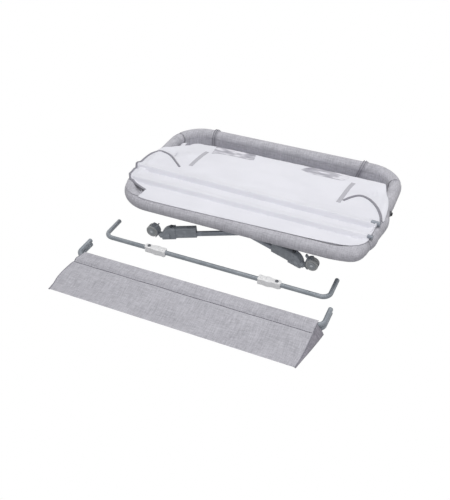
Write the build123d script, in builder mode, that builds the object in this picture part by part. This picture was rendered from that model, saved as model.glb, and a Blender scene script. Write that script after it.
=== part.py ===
"""Folding bassinet on a stand, packed flat, with its support bar and storage shelf beside it.

Millimetres, +Z up. The origin is on the floor, under the centre of the whole set.
The crib lies flat: both leg frames are folded under the basket, the right one above the left one.
"""
from build123d import *
from math import atan2, cos, degrees, radians, sin, sqrt, tan
import os

# ---------------------------------------------------------------- driving dimensions
# basket rim
rim_length = 890.0
rim_width = 552.0
rim_corner_radius = 113.0
rim_height = 130.0
rim_tube_radius = 9.5
rim_tube_wall = 1.5
pad_radius = 25.0
pad_seam_angle = 20.0
skirt_bottom = 92.0
skirt_thickness = 2.4
strap_width = 17.0
strap_thickness = 1.4
strap_shares = (-0.937, 0.922)

# basket floor
floor_end_gap = 50.0
board_thickness = 18.0
board_bottom = 129.0
board_front = -60.0
board_back = 168.0
board_corner = 40.0
board_edge = 4.0
cloth_thickness = 3.0
cloth_end = 15.0
cloth_back = 10.0
cloth_corner = 50.0
cloth_sag = 4.0
bar_radius = 8.0
bar_wall = 1.2
bar_rows = (-80.0, -150.0)
bar_cap_length = 12.0
bar_cap_head = 4.0
bar_end_gap = 38.0
floor_drop = 190.0
wall_band_height = 30.0
wall_band_bottom = 119.0

# hinges of the two leg frames
right_hinge_height = 88.0
left_hinge_height = 42.0
saddle_radius = 15.0
saddle_overhang = 2.0
hub_half_depth = 16.0
hub_half_width = 28.0
hub_corner = 5.0
hub_below_hinge = 15.0
hinge_pin_radius = 4.0
hinge_pin_head_radius = 6.5
hinge_pin_head = 2.5
hinge_pin_chamfer = 0.8
barrel_radius = 11.0
barrel_width = 24.0
barrel_room = 3.0
barrel_neck = 6.0
button_radius = 6.5
button_collar = 3.5
button_edge = 1.5
button_travel = 3.0
button_proud = 5.0
button_side = 12.0
height_button_depth = 11.0
height_button_inset = 13.0

# leg frames
right_foot_x = -284.0
right_foot_y = 275.0
right_apex_y = 34.0
left_foot_y = 231.0
left_apex_y = 22.0
leg_tube_width = 14.0
leg_tube_height = 20.0
leg_tube_wall = 1.5
leg_axis_height = 12.0
leg_travel = 40.0
yoke_start = 30.0
yoke_length = 76.0
yoke_height = 26.0
yoke_socket_wall = 5.0
yoke_crotch = 56.0
yoke_crotch_slope = 14.0
yoke_edge = 3.0
post_end_gap = 8.0
foot_length = 56.0
foot_width = 30.0
foot_top = 33.0
foot_start = 4.0
foot_dome = 38.0
foot_edge = 6.0
foot_post_gap = 2.0
boss_length = 39.0
groove_width = 1.2
groove_depth = 0.8
groove_place = 34.0
sleeve_length = 75.0
sleeve_width = 24.0
sleeve_top = 30.0
sleeve_bottom = 12.0
sleeve_corner = 6.0
stem_bore_depth = 16.0
shelf_socket_radius = 8.2
shelf_socket_depth = 40.0
shelf_socket_wall = 1.6

# casters
stem_radius = 4.0
wheel_radius = 22.0
wheel_width = 8.0
wheel_reach = 30.0
wheel_trail = 14.6
wheel_gap = 0.5
tread_round = 1.8
tread_width = 5.0
dish_depth = 1.0
dish_hub_radius = 8.0
web_thickness = 6.0
web_reach = 9.0
web_side = 3.0
axle_radius = 3.0
axle_boss = 4.0
axle_cap = 2.5
axle_cap_thickness = 1.6
collar_width = 5.0
collar_thickness = 3.0
hood_gap = 1.5
hood_side = 1.0
hood_thickness = 2.0
hood_start = -62.0
hood_angle = 150.0
tab_angle = 48.0
tab_length = 17.0
tab_width = 11.0
tab_thickness = 5.0
tab_round = 2.0

# support bar
support_bar_length = 834.0
support_bar_arm = 100.0
support_bar_radius = 8.0
support_bar_bend = 28.0
support_bar_left = -465.0
support_bar_y = -362.0
support_bar_z = 11.0
clip_length = 82.0
clip_width = 28.0
clip_height = 22.0
clip_spread = 213.5
clip_shift = 2.0
clip_bump = 3.0
clip_bump_share = -0.27
clip_screw_share = 0.3
clip_edge = 1.5
# half outline of a clip from its screw end: shares of its length and of its width
clip_outline = (
    (0.50, 0.0),
    (0.45, 0.34),
    (0.30, 0.40),
    (0.17, 0.37),
    (0.04, 0.45),
    (-0.10, 0.50),
    (-0.24, 0.43),
    (-0.36, 0.44),
    (-0.46, 0.46),
    (-0.50, 0.20),
    (-0.48, 0.0),
)
screw_radius = 2.0
screw_depth = 2.4
screw_head_radius = 6.0
screw_head = 2.4
screw_slot = 1.4
screw_turn = 35.0

# storage shelf
shelf_length = 880.0
shelf_arm = 85.0
shelf_tube_radius = 8.0
shelf_tube_wall = 1.2
shelf_bend = 26.0
shelf_left = -487.0
shelf_y = -506.0
shelf_upper_z = 24.3
shelf_hole_radius = 2.6
shelf_hole_inset = 9.0
shelf_cloth_inset = 28.0
shelf_cloth_flare_left = 27.0
shelf_cloth_flare_right = 8.0
shelf_cloth_depth = 171.0
shelf_cloth_wall = 2.0
shelf_cloth_lift = 0.4
shelf_crease_height = 6.0
# the folded cloth's upper side: shares of its depth and of its height
shelf_cloth_slope = ((0.30, 0.74), (0.65, 0.46))

# clearances
slip = 0.3
running = 0.25
# how far a cutting shape runs past the face that it cuts
overcut = 1.0

os.makedirs("parts", exist_ok=True)

# ---------------------------------------------------------------- derived layout
# the set's box is centred on the origin, so the basket stands back and a little to the right
set_left = shelf_left - shelf_tube_radius
set_right = rim_length / 2 + pad_radius - saddle_overhang + button_proud
set_front = shelf_y - shelf_cloth_depth
set_back = rim_width / 2 + pad_radius + slip + strap_thickness
rim_x = -(set_left + set_right) / 2
rim_y = -(set_front + set_back) / 2
straight_x = rim_length / 2 - rim_corner_radius
straight_y = rim_width / 2 - rim_corner_radius
hinge_x = rim_length / 2
button_mouth_x = hinge_x + pad_radius - saddle_overhang
button_depth = pad_radius - saddle_overhang - rim_tube_radius - button_collar
skirt_height = rim_height - skirt_bottom
skirt_out = pad_radius - slip - skirt_thickness / 2
sleeve_socket_y = sleeve_top - shelf_socket_radius - shelf_socket_wall


def at(x, y, z):
    """Place a point that is given from the basket's centre."""
    return Vector(rim_x + x, rim_y + y, z)


def write(piece, name):
    """Name a finished piece and write its STEP file."""
    piece.label = name
    export_step(piece, "parts/" + name + ".step")


# ---------------------------------------------------------------- rim
with BuildPart() as rim_tube:
    with BuildSketch(Plane.XY.offset(rim_height)):
        with Locations((rim_x, rim_y)):
            RectangleRounded(rim_length, rim_width, rim_corner_radius)
    rim_path = rim_tube.pending_faces[0].outer_wire()
    rim_tube.pending_faces.clear()
    with BuildSketch(Plane(at(0, -rim_width / 2, rim_height), x_dir=(0, 1, 0), z_dir=(1, 0, 0))):
        Circle(rim_tube_radius)
        Circle(rim_tube_radius - rim_tube_wall, mode=Mode.SUBTRACT)
    sweep(path=rim_path)
write(rim_tube.part, "rim_tube")


def make_side_pad(row):
    """Padded rim cover of one long side, with its hanging skirt; row is -1 front, +1 back."""
    with BuildPart() as pad:
        with BuildLine():
            first = at(-straight_x, row * straight_y, rim_height)
            last = at(straight_x, row * straight_y, rim_height)
            sweep_angle = 90 - pad_seam_angle
            if row < 0:
                CenterArc(first, rim_corner_radius, 270 - sweep_angle, sweep_angle)
                CenterArc(last, rim_corner_radius, 270, sweep_angle)
            else:
                CenterArc(first, rim_corner_radius, 90, sweep_angle)
                CenterArc(last, rim_corner_radius, 90 - sweep_angle, sweep_angle)
            Line(at(-straight_x, row * rim_width / 2, rim_height), at(straight_x, row * rim_width / 2, rim_height))
        path = pad.pending_edges_as_wire
        pad.pending_edges.clear()
        profile = Plane(path @ 0, x_dir=(0, 0, 1), z_dir=path % 0)
        inward = -1 if profile.y_dir.dot(path @ 0 - at(0, 0, rim_height)) > 0 else 1
        with BuildSketch(profile):
            Circle(pad_radius)
            with Locations((-skirt_height / 2, inward * skirt_out)):
                Rectangle(skirt_height, skirt_thickness)
            Circle(rim_tube_radius, mode=Mode.SUBTRACT)
        sweep(path=path)
    return pad.part


def make_end_pad(side):
    """Padded rim cover of one end, hollowed for the hinge hub; side is -1 left, +1 right."""
    with BuildPart() as pad:
        with BuildLine():
            low = at(side * straight_x, -straight_y, rim_height)
            high = at(side * straight_x, straight_y, rim_height)
            Line(at(side * hinge_x, -straight_y, rim_height), at(side * hinge_x, straight_y, rim_height))
            if side > 0:
                CenterArc(low, rim_corner_radius, -pad_seam_angle, pad_seam_angle)
                CenterArc(high, rim_corner_radius, 0, pad_seam_angle)
            else:
                CenterArc(low, rim_corner_radius, 180, pad_seam_angle)
                CenterArc(high, rim_corner_radius, 180 - pad_seam_angle, pad_seam_angle)
        path = pad.pending_edges_as_wire
        pad.pending_edges.clear()
        with BuildSketch(Plane(path @ 0, x_dir=(0, 0, 1), z_dir=path % 0)):
            Circle(pad_radius)
            Circle(rim_tube_radius, mode=Mode.SUBTRACT)
        sweep(path=path)
        saddle = Plane(at(side * hinge_x, 0, rim_height), x_dir=(1, 0, 0), z_dir=(0, 1, 0))
        with BuildSketch(saddle):
            Circle(saddle_radius + slip)
        extrude(amount=hub_half_width + saddle_overhang + slip, both=True, mode=Mode.SUBTRACT)
        with BuildSketch(Plane(at(side * hinge_x, 0, rim_height - pad_radius - overcut))):
            Rectangle(2 * (hub_half_depth + slip), 2 * (hub_half_width + slip))
        extrude(amount=pad_radius + overcut, mode=Mode.SUBTRACT)
        with BuildSketch(Plane(at(side * hinge_x, side * button_side, rim_height), z_dir=(side, 0, 0))):
            Circle(button_radius + button_collar + slip)
        extrude(amount=pad_radius + overcut, mode=Mode.SUBTRACT)
    return pad.part


write(make_side_pad(-1), "rim_pad_front")
write(make_side_pad(1), "rim_pad_back")
write(make_end_pad(-1), "rim_pad_left")
write(make_end_pad(1), "rim_pad_right")

# each strap runs round the back pad and down the inner side of its skirt
strap_fall = skirt_height - strap_width / 2
with BuildPart() as rim_straps:
    for strap_share in strap_shares:
        strap_start = at(strap_share * straight_x - strap_width / 2, rim_width / 2, rim_height)
        with BuildSketch(Plane(strap_start, x_dir=(0, 1, 0), z_dir=(1, 0, 0))):
            Circle(pad_radius + slip + strap_thickness)
            with Locations((-pad_radius - strap_thickness / 2, -strap_fall / 2)):
                Rectangle(strap_thickness, strap_fall)
            Circle(pad_radius + slip, mode=Mode.SUBTRACT)
            with Locations((-skirt_out, -skirt_height / 2)):
                Rectangle(skirt_thickness + 2 * slip, skirt_height + 2 * slip, mode=Mode.SUBTRACT)
        extrude(amount=strap_width)
write(rim_straps.part, "rim_straps")


# ---------------------------------------------------------------- hinge hubs
def make_hub(side, hinge_height):
    """Hub that clasps the rim tube and holds one leg frame between two ears."""
    rim_point = at(side * hinge_x, 0, rim_height)
    hinge_point = at(side * hinge_x, 0, hinge_height)
    ear_bottom = hinge_height - hub_below_hinge
    with BuildPart() as hub:
        with BuildSketch(Plane(rim_point, x_dir=(1, 0, 0), z_dir=(0, 1, 0))):
            Circle(saddle_radius)
        extrude(amount=hub_half_width + saddle_overhang, both=True)
        with BuildSketch(Plane(at(side * hinge_x, 0, ear_bottom))):
            RectangleRounded(2 * hub_half_depth, 2 * hub_half_width, hub_corner)
        extrude(amount=rim_height - ear_bottom)
        ear_edges = hub.edges().filter_by(GeomType.LINE).group_by(Axis.Z)[0]
        fillet(ear_edges.filter_by(Axis.Y), hub_below_hinge - hub_corner)
        with BuildSketch(Plane(at(side * hinge_x, side * button_side, rim_height), z_dir=(side, 0, 0))):
            Circle(button_radius + button_collar)
        extrude(amount=pad_radius - saddle_overhang)
        # slot between the ears for the barrel of the leg frame
        slot_top = hinge_height + barrel_radius + barrel_room
        with BuildSketch(Plane(at(side * hinge_x, 0, ear_bottom - overcut))):
            Rectangle(4 * hub_half_depth, barrel_width + 2 * slip)
        extrude(amount=slot_top - ear_bottom + overcut, mode=Mode.SUBTRACT)
        # bores of the rim tube, of the hinge pin and of the release button
        with BuildSketch(Plane(rim_point, x_dir=(1, 0, 0), z_dir=(0, 1, 0))):
            Circle(rim_tube_radius)
        extrude(amount=hub_half_width + saddle_overhang + overcut, both=True, mode=Mode.SUBTRACT)
        with BuildSketch(Plane(hinge_point, x_dir=(1, 0, 0), z_dir=(0, 1, 0))):
            Circle(hinge_pin_radius)
        extrude(amount=hub_half_width + saddle_overhang + overcut, both=True, mode=Mode.SUBTRACT)
        button_mouth = at(side * button_mouth_x, side * button_side, rim_height)
        with BuildSketch(Plane(button_mouth, z_dir=(-side, 0, 0))):
            Circle(button_radius + running)
        extrude(amount=button_depth, mode=Mode.SUBTRACT)
    return hub.part


def make_hinge_pin(side, hinge_height):
    """Pin with a head at each end, through both ears of a hub."""
    with BuildPart() as pin:
        with BuildSketch(Plane(at(side * hinge_x, 0, hinge_height), x_dir=(1, 0, 0), z_dir=(0, 1, 0))):
            Circle(hinge_pin_radius)
        extrude(amount=hub_half_width + hinge_pin_head / 2, both=True)
        for end in (-1, 1):
            head = Plane(at(side * hinge_x, end * hub_half_width, hinge_height), x_dir=(1, 0, 0), z_dir=(0, end, 0))
            with BuildSketch(head):
                Circle(hinge_pin_head_radius)
            extrude(amount=hinge_pin_head)
        chamfer(pin.edges().filter_by(GeomType.CIRCLE).group_by(Axis.Y)[-1], hinge_pin_chamfer)
        chamfer(pin.edges().filter_by(GeomType.CIRCLE).group_by(Axis.Y)[0], hinge_pin_chamfer)
    return pin.part


def make_release_button(side):
    """Round push button that frees the leg frame's lock."""
    mouth = at(side * button_mouth_x, side * button_side, rim_height)
    with BuildPart() as button:
        with BuildSketch(Plane(mouth, z_dir=(side, 0, 0)).offset(button_proud)):
            Circle(button_radius)
        extrude(amount=-(button_proud + button_depth - button_travel - slip))
        fillet(button.edges().filter_by(GeomType.CIRCLE).sort_by(Axis.X)[-1 if side > 0 else 0], button_edge)
    return button.part


write(make_hub(-1, left_hinge_height), "hub_left")
write(make_hub(1, right_hinge_height), "hub_right")
write(make_hinge_pin(-1, left_hinge_height), "hinge_pin_left")
write(make_hinge_pin(1, right_hinge_height), "hinge_pin_right")
write(make_release_button(-1), "release_button_left")
write(make_release_button(1), "release_button_right")


# ---------------------------------------------------------------- leg frames
class LegFrame:
    """Directions and planes of one folded leg frame; side is -1 for the left hinge, +1 for the right."""

    def __init__(self, side, hinge_height, foot_x, foot_y, apex_y):
        self.side = side
        self.hinge_height = hinge_height
        self.foot_x = foot_x
        self.foot_y = foot_y
        self.apex_y = apex_y
        self.hinge = at(side * hinge_x, 0, hinge_height)
        span = Vector(side * hinge_x - foot_x, 0, hinge_height - leg_axis_height)
        self.median = span.normalized()
        self.reach = span.length
        self.slope_deg = degrees(atan2(hinge_height - leg_axis_height, abs(side * hinge_x - foot_x)))
        self.normal = Vector(-side * self.median.Z, 0, abs(self.median.X))
        self.half_angle = atan2(foot_y - apex_y, self.reach)

    def post(self, row):
        """Plane at a post's foot end: x lies in the frame's plane, y is its normal, z runs up the post."""
        foot = at(self.foot_x, row * self.foot_y, leg_axis_height)
        apex = at(self.side * hinge_x, row * self.apex_y, self.hinge_height)
        along = (apex - foot).normalized()
        return Plane(foot, x_dir=self.normal.cross(along), z_dir=along)

    def post_length(self):
        """Length of a post's axis, from the foot's end to the hinge line."""
        return sqrt(self.reach**2 + (self.foot_y - self.apex_y) ** 2)

    def flat(self):
        """Plane of the frame at its hinge: x runs away from the feet, y across, z is the normal."""
        return Plane(self.hinge, x_dir=self.median, z_dir=self.normal)

    def caster(self, row):
        """Plane at a caster's collar: z is the swivel axis away from the foot, x is the wheel's trail."""
        foot = at(self.foot_x, row * self.foot_y, leg_axis_height)
        return Plane(foot, x_dir=self.normal, z_dir=self.median * -1)


right_span = sqrt((hinge_x - right_foot_x) ** 2 + (right_hinge_height - leg_axis_height) ** 2)
left_span = right_span - (right_hinge_height - left_hinge_height)
left_foot_x = -hinge_x + sqrt(left_span**2 - (left_hinge_height - leg_axis_height) ** 2)
right_frame = LegFrame(1, right_hinge_height, right_foot_x, right_foot_y, right_apex_y)
left_frame = LegFrame(-1, left_hinge_height, left_foot_x, left_foot_y, left_apex_y)
post_start = foot_length + foot_post_gap
frames = {"right": right_frame, "left": left_frame}
rows = {"front": -1, "back": 1}


def make_yoke(frame):
    """Forked casting: a barrel on the hinge pin and two sockets that hold the posts."""
    spread = tan(frame.half_angle)
    near = frame.apex_y + spread * yoke_start + leg_tube_width / 2 + yoke_socket_wall
    far = frame.apex_y + spread * yoke_length + leg_tube_width / 2 + yoke_socket_wall
    inner = far - leg_tube_width - 2 * yoke_socket_wall
    with BuildPart() as yoke:
        with BuildSketch(frame.flat().offset(-yoke_height / 2)):
            with BuildLine():
                Polyline(
                    (-yoke_start, -near),
                    (-yoke_length, -far),
                    (-yoke_length, -inner),
                    (-yoke_crotch, -inner + yoke_crotch_slope),
                    (-yoke_crotch, inner - yoke_crotch_slope),
                    (-yoke_length, inner),
                    (-yoke_length, far),
                    (-yoke_start, near),
                    close=True,
                )
            make_face()
        extrude(amount=yoke_height)
        fillet(yoke.edges().filter_by(Axis(frame.hinge, frame.normal)), yoke_edge)
        with BuildSketch(frame.flat().offset(-barrel_radius)):
            with Locations((-(yoke_start + barrel_neck) / 2, 0)):
                Rectangle(yoke_start + barrel_neck, barrel_width)
        extrude(amount=2 * barrel_radius)
        with BuildSketch(Plane(frame.hinge, x_dir=(1, 0, 0), z_dir=(0, 1, 0))):
            Circle(barrel_radius)
        extrude(amount=barrel_width / 2, both=True)
        with BuildSketch(Plane(frame.hinge, x_dir=(1, 0, 0), z_dir=(0, 1, 0))):
            Circle(hinge_pin_radius + running)
        extrude(amount=barrel_width, both=True, mode=Mode.SUBTRACT)
        for row in (-1, 1):
            with BuildSketch(frame.post(row).offset(post_end(frame))):
                SlotOverall(leg_tube_height, leg_tube_width, rotation=90)
            extrude(amount=-2 * yoke_length, mode=Mode.SUBTRACT)
    return yoke.part


def post_end(frame):
    """Distance from a post's foot end to its other end, inside the yoke."""
    return frame.post_length() - yoke_start - post_end_gap


def make_post(frame, row):
    """Oval steel tube between the yoke and the telescoping foot."""
    with BuildPart() as post:
        with BuildSketch(frame.post(row).offset(post_start)):
            SlotOverall(leg_tube_height, leg_tube_width, rotation=90)
            SlotOverall(
                leg_tube_height - 2 * leg_tube_wall,
                leg_tube_width - 2 * leg_tube_wall,
                rotation=90,
                mode=Mode.SUBTRACT,
            )
        extrude(amount=post_end(frame) - post_start)
    return post.part


def make_sleeve(frame, row):
    """Height-setting sleeve that slides on a post, with a socket for the shelf's tube in its upper end."""
    foot_plane = frame.post(row)
    middle = (sleeve_top - sleeve_bottom) / 2
    with BuildPart() as sleeve:
        with BuildSketch(foot_plane.offset(foot_length)):
            with Locations((0, middle)):
                RectangleRounded(sleeve_width, sleeve_top + sleeve_bottom, sleeve_corner)
        extrude(amount=sleeve_length)
        with BuildSketch(foot_plane.offset(foot_length)):
            SlotOverall(leg_tube_height + 2 * running, leg_tube_width + 2 * running, rotation=90)
        extrude(amount=sleeve_length, mode=Mode.SUBTRACT)
        with BuildSketch(foot_plane.offset(foot_length + sleeve_length)):
            with Locations((0, sleeve_socket_y)):
                Circle(shelf_socket_radius)
        extrude(amount=-shelf_socket_depth, mode=Mode.SUBTRACT)
    return sleeve.part


def make_foot(frame, row):
    """Foot: domed housing over the tube's end, with a round boss that takes the caster's stem."""
    foot_plane = frame.post(row)
    upright = Plane(foot_plane.origin, x_dir=foot_plane.z_dir, z_dir=foot_plane.x_dir * -1)
    with BuildPart() as foot:
        with BuildSketch(upright.offset(-foot_width / 2)):
            middle = (foot_top - sleeve_bottom) / 2
            with Locations(((foot_start + foot_length) / 2, middle)):
                Rectangle(foot_length - foot_start, foot_top + sleeve_bottom)
            fillet(vertices().group_by(Axis.X)[0].sort_by(Axis.Y)[-1], foot_dome)
        extrude(amount=foot_width)
        upper = foot.faces().filter_by(GeomType.CYLINDER).edges()
        fillet(upper.filter_by(GeomType.CIRCLE), foot_edge)
        with BuildSketch(foot_plane.offset(groove_place)):
            with Locations((0, middle)):
                Rectangle(2 * foot_width, 2 * (foot_top + sleeve_bottom))
                Rectangle(
                    foot_width - 2 * groove_depth,
                    foot_top + sleeve_bottom - 2 * groove_depth,
                    mode=Mode.SUBTRACT,
                )
        extrude(amount=groove_width, mode=Mode.SUBTRACT)
        with BuildSketch(frame.caster(row)):
            Circle(leg_axis_height - slip)
        extrude(amount=-boss_length)
        with BuildSketch(foot_plane.offset(post_start - leg_travel - foot_post_gap)):
            SlotOverall(leg_tube_height + 2 * running, leg_tube_width + 2 * running, rotation=90)
        extrude(amount=foot_length, mode=Mode.SUBTRACT)
        with BuildSketch(frame.caster(row)):
            Circle(stem_radius + running)
        extrude(amount=-stem_bore_depth, mode=Mode.SUBTRACT)
        with BuildSketch(height_button_plane(frame, row)):
            Circle(button_radius + running)
        extrude(amount=-height_button_depth, mode=Mode.SUBTRACT)
    return foot.part


def height_button_plane(frame, row):
    """Plane on top of a foot, where its height button comes out."""
    foot_plane = frame.post(row)
    along = foot_length - height_button_inset
    centre = foot_plane.origin + foot_plane.z_dir * along + foot_plane.y_dir * foot_top
    return Plane(centre, x_dir=foot_plane.z_dir, z_dir=foot_plane.y_dir)


def make_height_button(frame, row):
    """Push button that frees a foot to slide along its post."""
    with BuildPart() as button:
        with BuildSketch(height_button_plane(frame, row).offset(button_proud)):
            Circle(button_radius)
        extrude(amount=-(button_proud + height_button_depth - button_travel - slip))
        top = button.edges().filter_by(GeomType.CIRCLE).sort_by(Axis.Z)[-1]
        fillet(top, button_edge)
    return button.part


# ---------------------------------------------------------------- casters
def on_circle(radius, angle):
    """Point of a circle about the origin, by its angle in degrees."""
    return (radius * cos(radians(angle)), radius * sin(radians(angle)))


def make_fork(frame, row):
    """Caster body: stem, collar, the web between the wheels, the hood over them and the brake tab."""
    place = frame.caster(row)
    centre = place.origin + place.z_dir * wheel_reach + place.x_dir * wheel_trail
    side_on = Plane(centre, x_dir=place.z_dir * -1, z_dir=place.y_dir * -1)
    hood_radius = wheel_radius + hood_gap + hood_thickness
    with BuildPart() as fork:
        with BuildSketch(place.offset(collar_thickness / 2)):
            Circle(stem_radius)
        extrude(amount=-stem_bore_depth)
        with BuildSketch(place.offset(slip)):
            Circle(stem_radius + collar_width)
        extrude(amount=collar_thickness)
        with BuildSketch(side_on):
            with BuildLine():
                Line((0, 0), on_circle(hood_radius, hood_start))
                CenterArc((0, 0), hood_radius, hood_start, hood_angle)
                Line(on_circle(hood_radius, hood_start + hood_angle), (0, 0))
            make_face()
            with Locations((wheel_reach - web_reach / 2 - running, -wheel_trail)):
                Rectangle(web_reach, 2 * (stem_radius + web_side))
        extrude(amount=web_thickness / 2, both=True)
        with BuildSketch(side_on):
            with BuildLine():
                CenterArc((0, 0), hood_radius, hood_start, hood_angle)
                CenterArc((0, 0), hood_radius - hood_thickness, hood_start, hood_angle)
                for angle in (hood_start, hood_start + hood_angle):
                    Line(on_circle(hood_radius, angle), on_circle(hood_radius - hood_thickness, angle))
            make_face()
        extrude(amount=web_thickness / 2 + wheel_width + hood_side, both=True)
        with BuildSketch(side_on):
            with Locations(Location((0, 0, 0), (0, 0, tab_angle))):
                with Locations((hood_radius - hood_thickness + tab_length / 2, 0)):
                    RectangleRounded(tab_length, tab_thickness, tab_round)
        extrude(amount=tab_width / 2, both=True)
        with BuildSketch(side_on):
            Circle(axle_radius + axle_boss)
        extrude(amount=web_thickness / 2, both=True)
        with BuildSketch(side_on):
            Circle(axle_radius)
        extrude(amount=web_thickness, both=True, mode=Mode.SUBTRACT)
    return fork.part


def make_wheels(frame, row):
    """The caster's two wheels, each with a dished face around its hub and a rounded tread."""
    place = frame.caster(row)
    centre = place.origin + place.z_dir * wheel_reach + place.x_dir * wheel_trail
    with BuildPart() as wheels:
        for end in (-1, 1):
            inner = Plane(centre, x_dir=place.x_dir, z_dir=place.y_dir * end)
            inner = inner.offset(web_thickness / 2 + wheel_gap)
            with BuildSketch(inner):
                Circle(wheel_radius)
                Circle(axle_radius + running, mode=Mode.SUBTRACT)
            extrude(amount=wheel_width)
            with BuildSketch(inner.offset(wheel_width)):
                Circle(wheel_radius - tread_width)
                Circle(dish_hub_radius, mode=Mode.SUBTRACT)
            extrude(amount=-dish_depth, mode=Mode.SUBTRACT)
        rims = wheels.edges().filter_by(GeomType.CIRCLE).filter_by(lambda edge: edge.radius > wheel_radius - slip)
        fillet(rims, tread_round)
    return wheels.part


def make_axle(frame, row):
    """Axle pin through the web and both wheels, with a cap at each end."""
    place = frame.caster(row)
    centre = place.origin + place.z_dir * wheel_reach + place.x_dir * wheel_trail
    across = Plane(centre, x_dir=place.x_dir, z_dir=place.y_dir)
    half = web_thickness / 2 + wheel_gap + wheel_width + slip
    with BuildPart() as axle:
        with BuildSketch(across):
            Circle(axle_radius)
        extrude(amount=half + axle_cap_thickness / 2, both=True)
        for end in (-1, 1):
            with BuildSketch(Plane(centre, x_dir=place.x_dir, z_dir=place.y_dir * end).offset(half)):
                Circle(axle_radius + axle_cap)
            extrude(amount=axle_cap_thickness)
    return axle.part


for frame_name, frame in frames.items():
    write(make_yoke(frame), "yoke_" + frame_name)
    for row_name, row in rows.items():
        tail = "_" + frame_name + "_" + row_name
        write(make_post(frame, row), "leg_post" + tail)
        write(make_sleeve(frame, row), "height_sleeve" + tail)
        write(make_foot(frame, row), "foot" + tail)
        write(make_height_button(frame, row), "height_button" + tail)
        write(make_fork(frame, row), "caster_fork" + tail)
        write(make_wheels(frame, row), "caster_wheels" + tail)
        write(make_axle(frame, row), "caster_axle" + tail)


# ---------------------------------------------------------------- floor of the basket
floor_half_length = rim_length / 2 - pad_radius - floor_end_gap
board_top = board_bottom + board_thickness
floor_bar_height = board_top - bar_radius

with BuildPart() as floor_board:
    with BuildSketch(Plane.XY.offset(board_bottom)):
        with Locations(at(0, (board_front + board_back) / 2, 0)):
            RectangleRounded(2 * floor_half_length, board_back - board_front, board_corner)
    extrude(amount=board_thickness)
    fillet(floor_board.faces().sort_by(Axis.Z)[-1].edges(), board_edge)
write(floor_board.part, "floor_board")

bar_half_length = rim_length / 2 - pad_radius - bar_end_gap
for bar_name, bar_y in zip(("floor_bar_back", "floor_bar_front"), bar_rows):
    with BuildPart() as floor_bar:
        with BuildSketch(Plane(at(-bar_half_length, bar_y, floor_bar_height), z_dir=(1, 0, 0))):
            Circle(bar_radius)
            Circle(bar_radius - bar_wall, mode=Mode.SUBTRACT)
        extrude(amount=2 * bar_half_length)
    write(floor_bar.part, bar_name)

with BuildPart() as floor_bar_caps:
    for end in (-1, 1):
        for bar_y in bar_rows:
            with BuildSketch(Plane(at(end * bar_half_length, bar_y, floor_bar_height), z_dir=(end, 0, 0))):
                Circle(bar_radius)
            extrude(amount=bar_cap_head)
            with BuildSketch(Plane(at(end * bar_half_length, bar_y, floor_bar_height), z_dir=(-end, 0, 0))):
                Circle(bar_radius - bar_wall)
            extrude(amount=bar_cap_length)
write(floor_bar_caps.part, "floor_bar_caps")

band_gap = strap_thickness + 2 * slip
cloth_half_length = floor_half_length + cloth_end
cloth_half_width = rim_width / 2 - pad_radius - band_gap - cloth_thickness - slip
cloth_rest = board_top + slip
# the cloth hangs a little between the two cross bars and in front of them
bar_side = 2 * bar_radius
cloth_hang = (
    (-cloth_half_width, cloth_rest - cloth_sag / 2),
    ((bar_rows[1] - cloth_half_width) / 2, cloth_rest - cloth_sag),
    (bar_rows[1] - bar_side, cloth_rest - 2 * slip),
    (bar_rows[1], cloth_rest + slip),
    (bar_rows[1] + bar_side, cloth_rest - 2 * slip),
    ((bar_rows[0] + bar_rows[1]) / 2, cloth_rest - cloth_sag),
    (bar_rows[0] - bar_side, cloth_rest - 2 * slip),
    (bar_rows[0], cloth_rest + slip),
    (board_front - overcut, cloth_rest),
)
with BuildPart() as floor_cloth:
    with BuildSketch(Plane(at(-cloth_half_length, 0, 0), x_dir=(0, 1, 0), z_dir=(1, 0, 0))):
        with BuildLine():
            under = Spline([(y, z) for y, z in cloth_hang])
            over = Spline([(y, z + cloth_thickness) for y, z in cloth_hang])
            Line(under @ 0, over @ 0)
            Polyline(
                under @ 1,
                (board_back + cloth_back, cloth_rest),
                (board_back + cloth_back, cloth_rest + cloth_thickness),
                over @ 1,
            )
        make_face()
    extrude(amount=2 * cloth_half_length)
    fillet(floor_cloth.edges().filter_by(Axis.Z), cloth_corner)
write(floor_cloth.part, "floor_cloth")

band_length = rim_length - 2 * (pad_radius + band_gap)
band_width = rim_width - 2 * (pad_radius + band_gap)
band_radius = rim_corner_radius - pad_radius - band_gap
with BuildPart() as liner_walls:
    with BuildSketch(Plane.XY.offset(wall_band_bottom)):
        with Locations((rim_x, rim_y)):
            RectangleRounded(band_length, band_width, band_radius)
            RectangleRounded(
                band_length - 2 * cloth_thickness,
                band_width - 2 * cloth_thickness,
                band_radius - cloth_thickness,
                mode=Mode.SUBTRACT,
            )
    extrude(amount=wall_band_height)
write(liner_walls.part, "liner_walls")


# ---------------------------------------------------------------- support bar
def make_loop_tube(left, length, y, z, arm, radius, wall, bend, hole_radius=0):
    """Tube bent at both ends, with two arms that point to the back and may have a cross hole each."""
    with BuildPart() as tube:
        with BuildLine():
            FilletPolyline(
                at(left, y + arm, z),
                at(left, y, z),
                at(left + length, y, z),
                at(left + length, y + arm, z),
                radius=bend,
            )
        path = tube.pending_edges_as_wire
        tube.pending_edges.clear()
        with BuildSketch(Plane(path @ 0, x_dir=(0, 0, 1), z_dir=path % 0)):
            Circle(radius)
            Circle(radius - wall, mode=Mode.SUBTRACT)
        sweep(path=path)
        if hole_radius:
            for x in (left, left + length):
                hole = at(x - radius - overcut, y + arm - shelf_hole_inset, z)
                with BuildSketch(Plane(hole, z_dir=(1, 0, 0))):
                    Circle(hole_radius)
                extrude(amount=2 * (radius + overcut), mode=Mode.SUBTRACT)
    return tube.part


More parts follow.
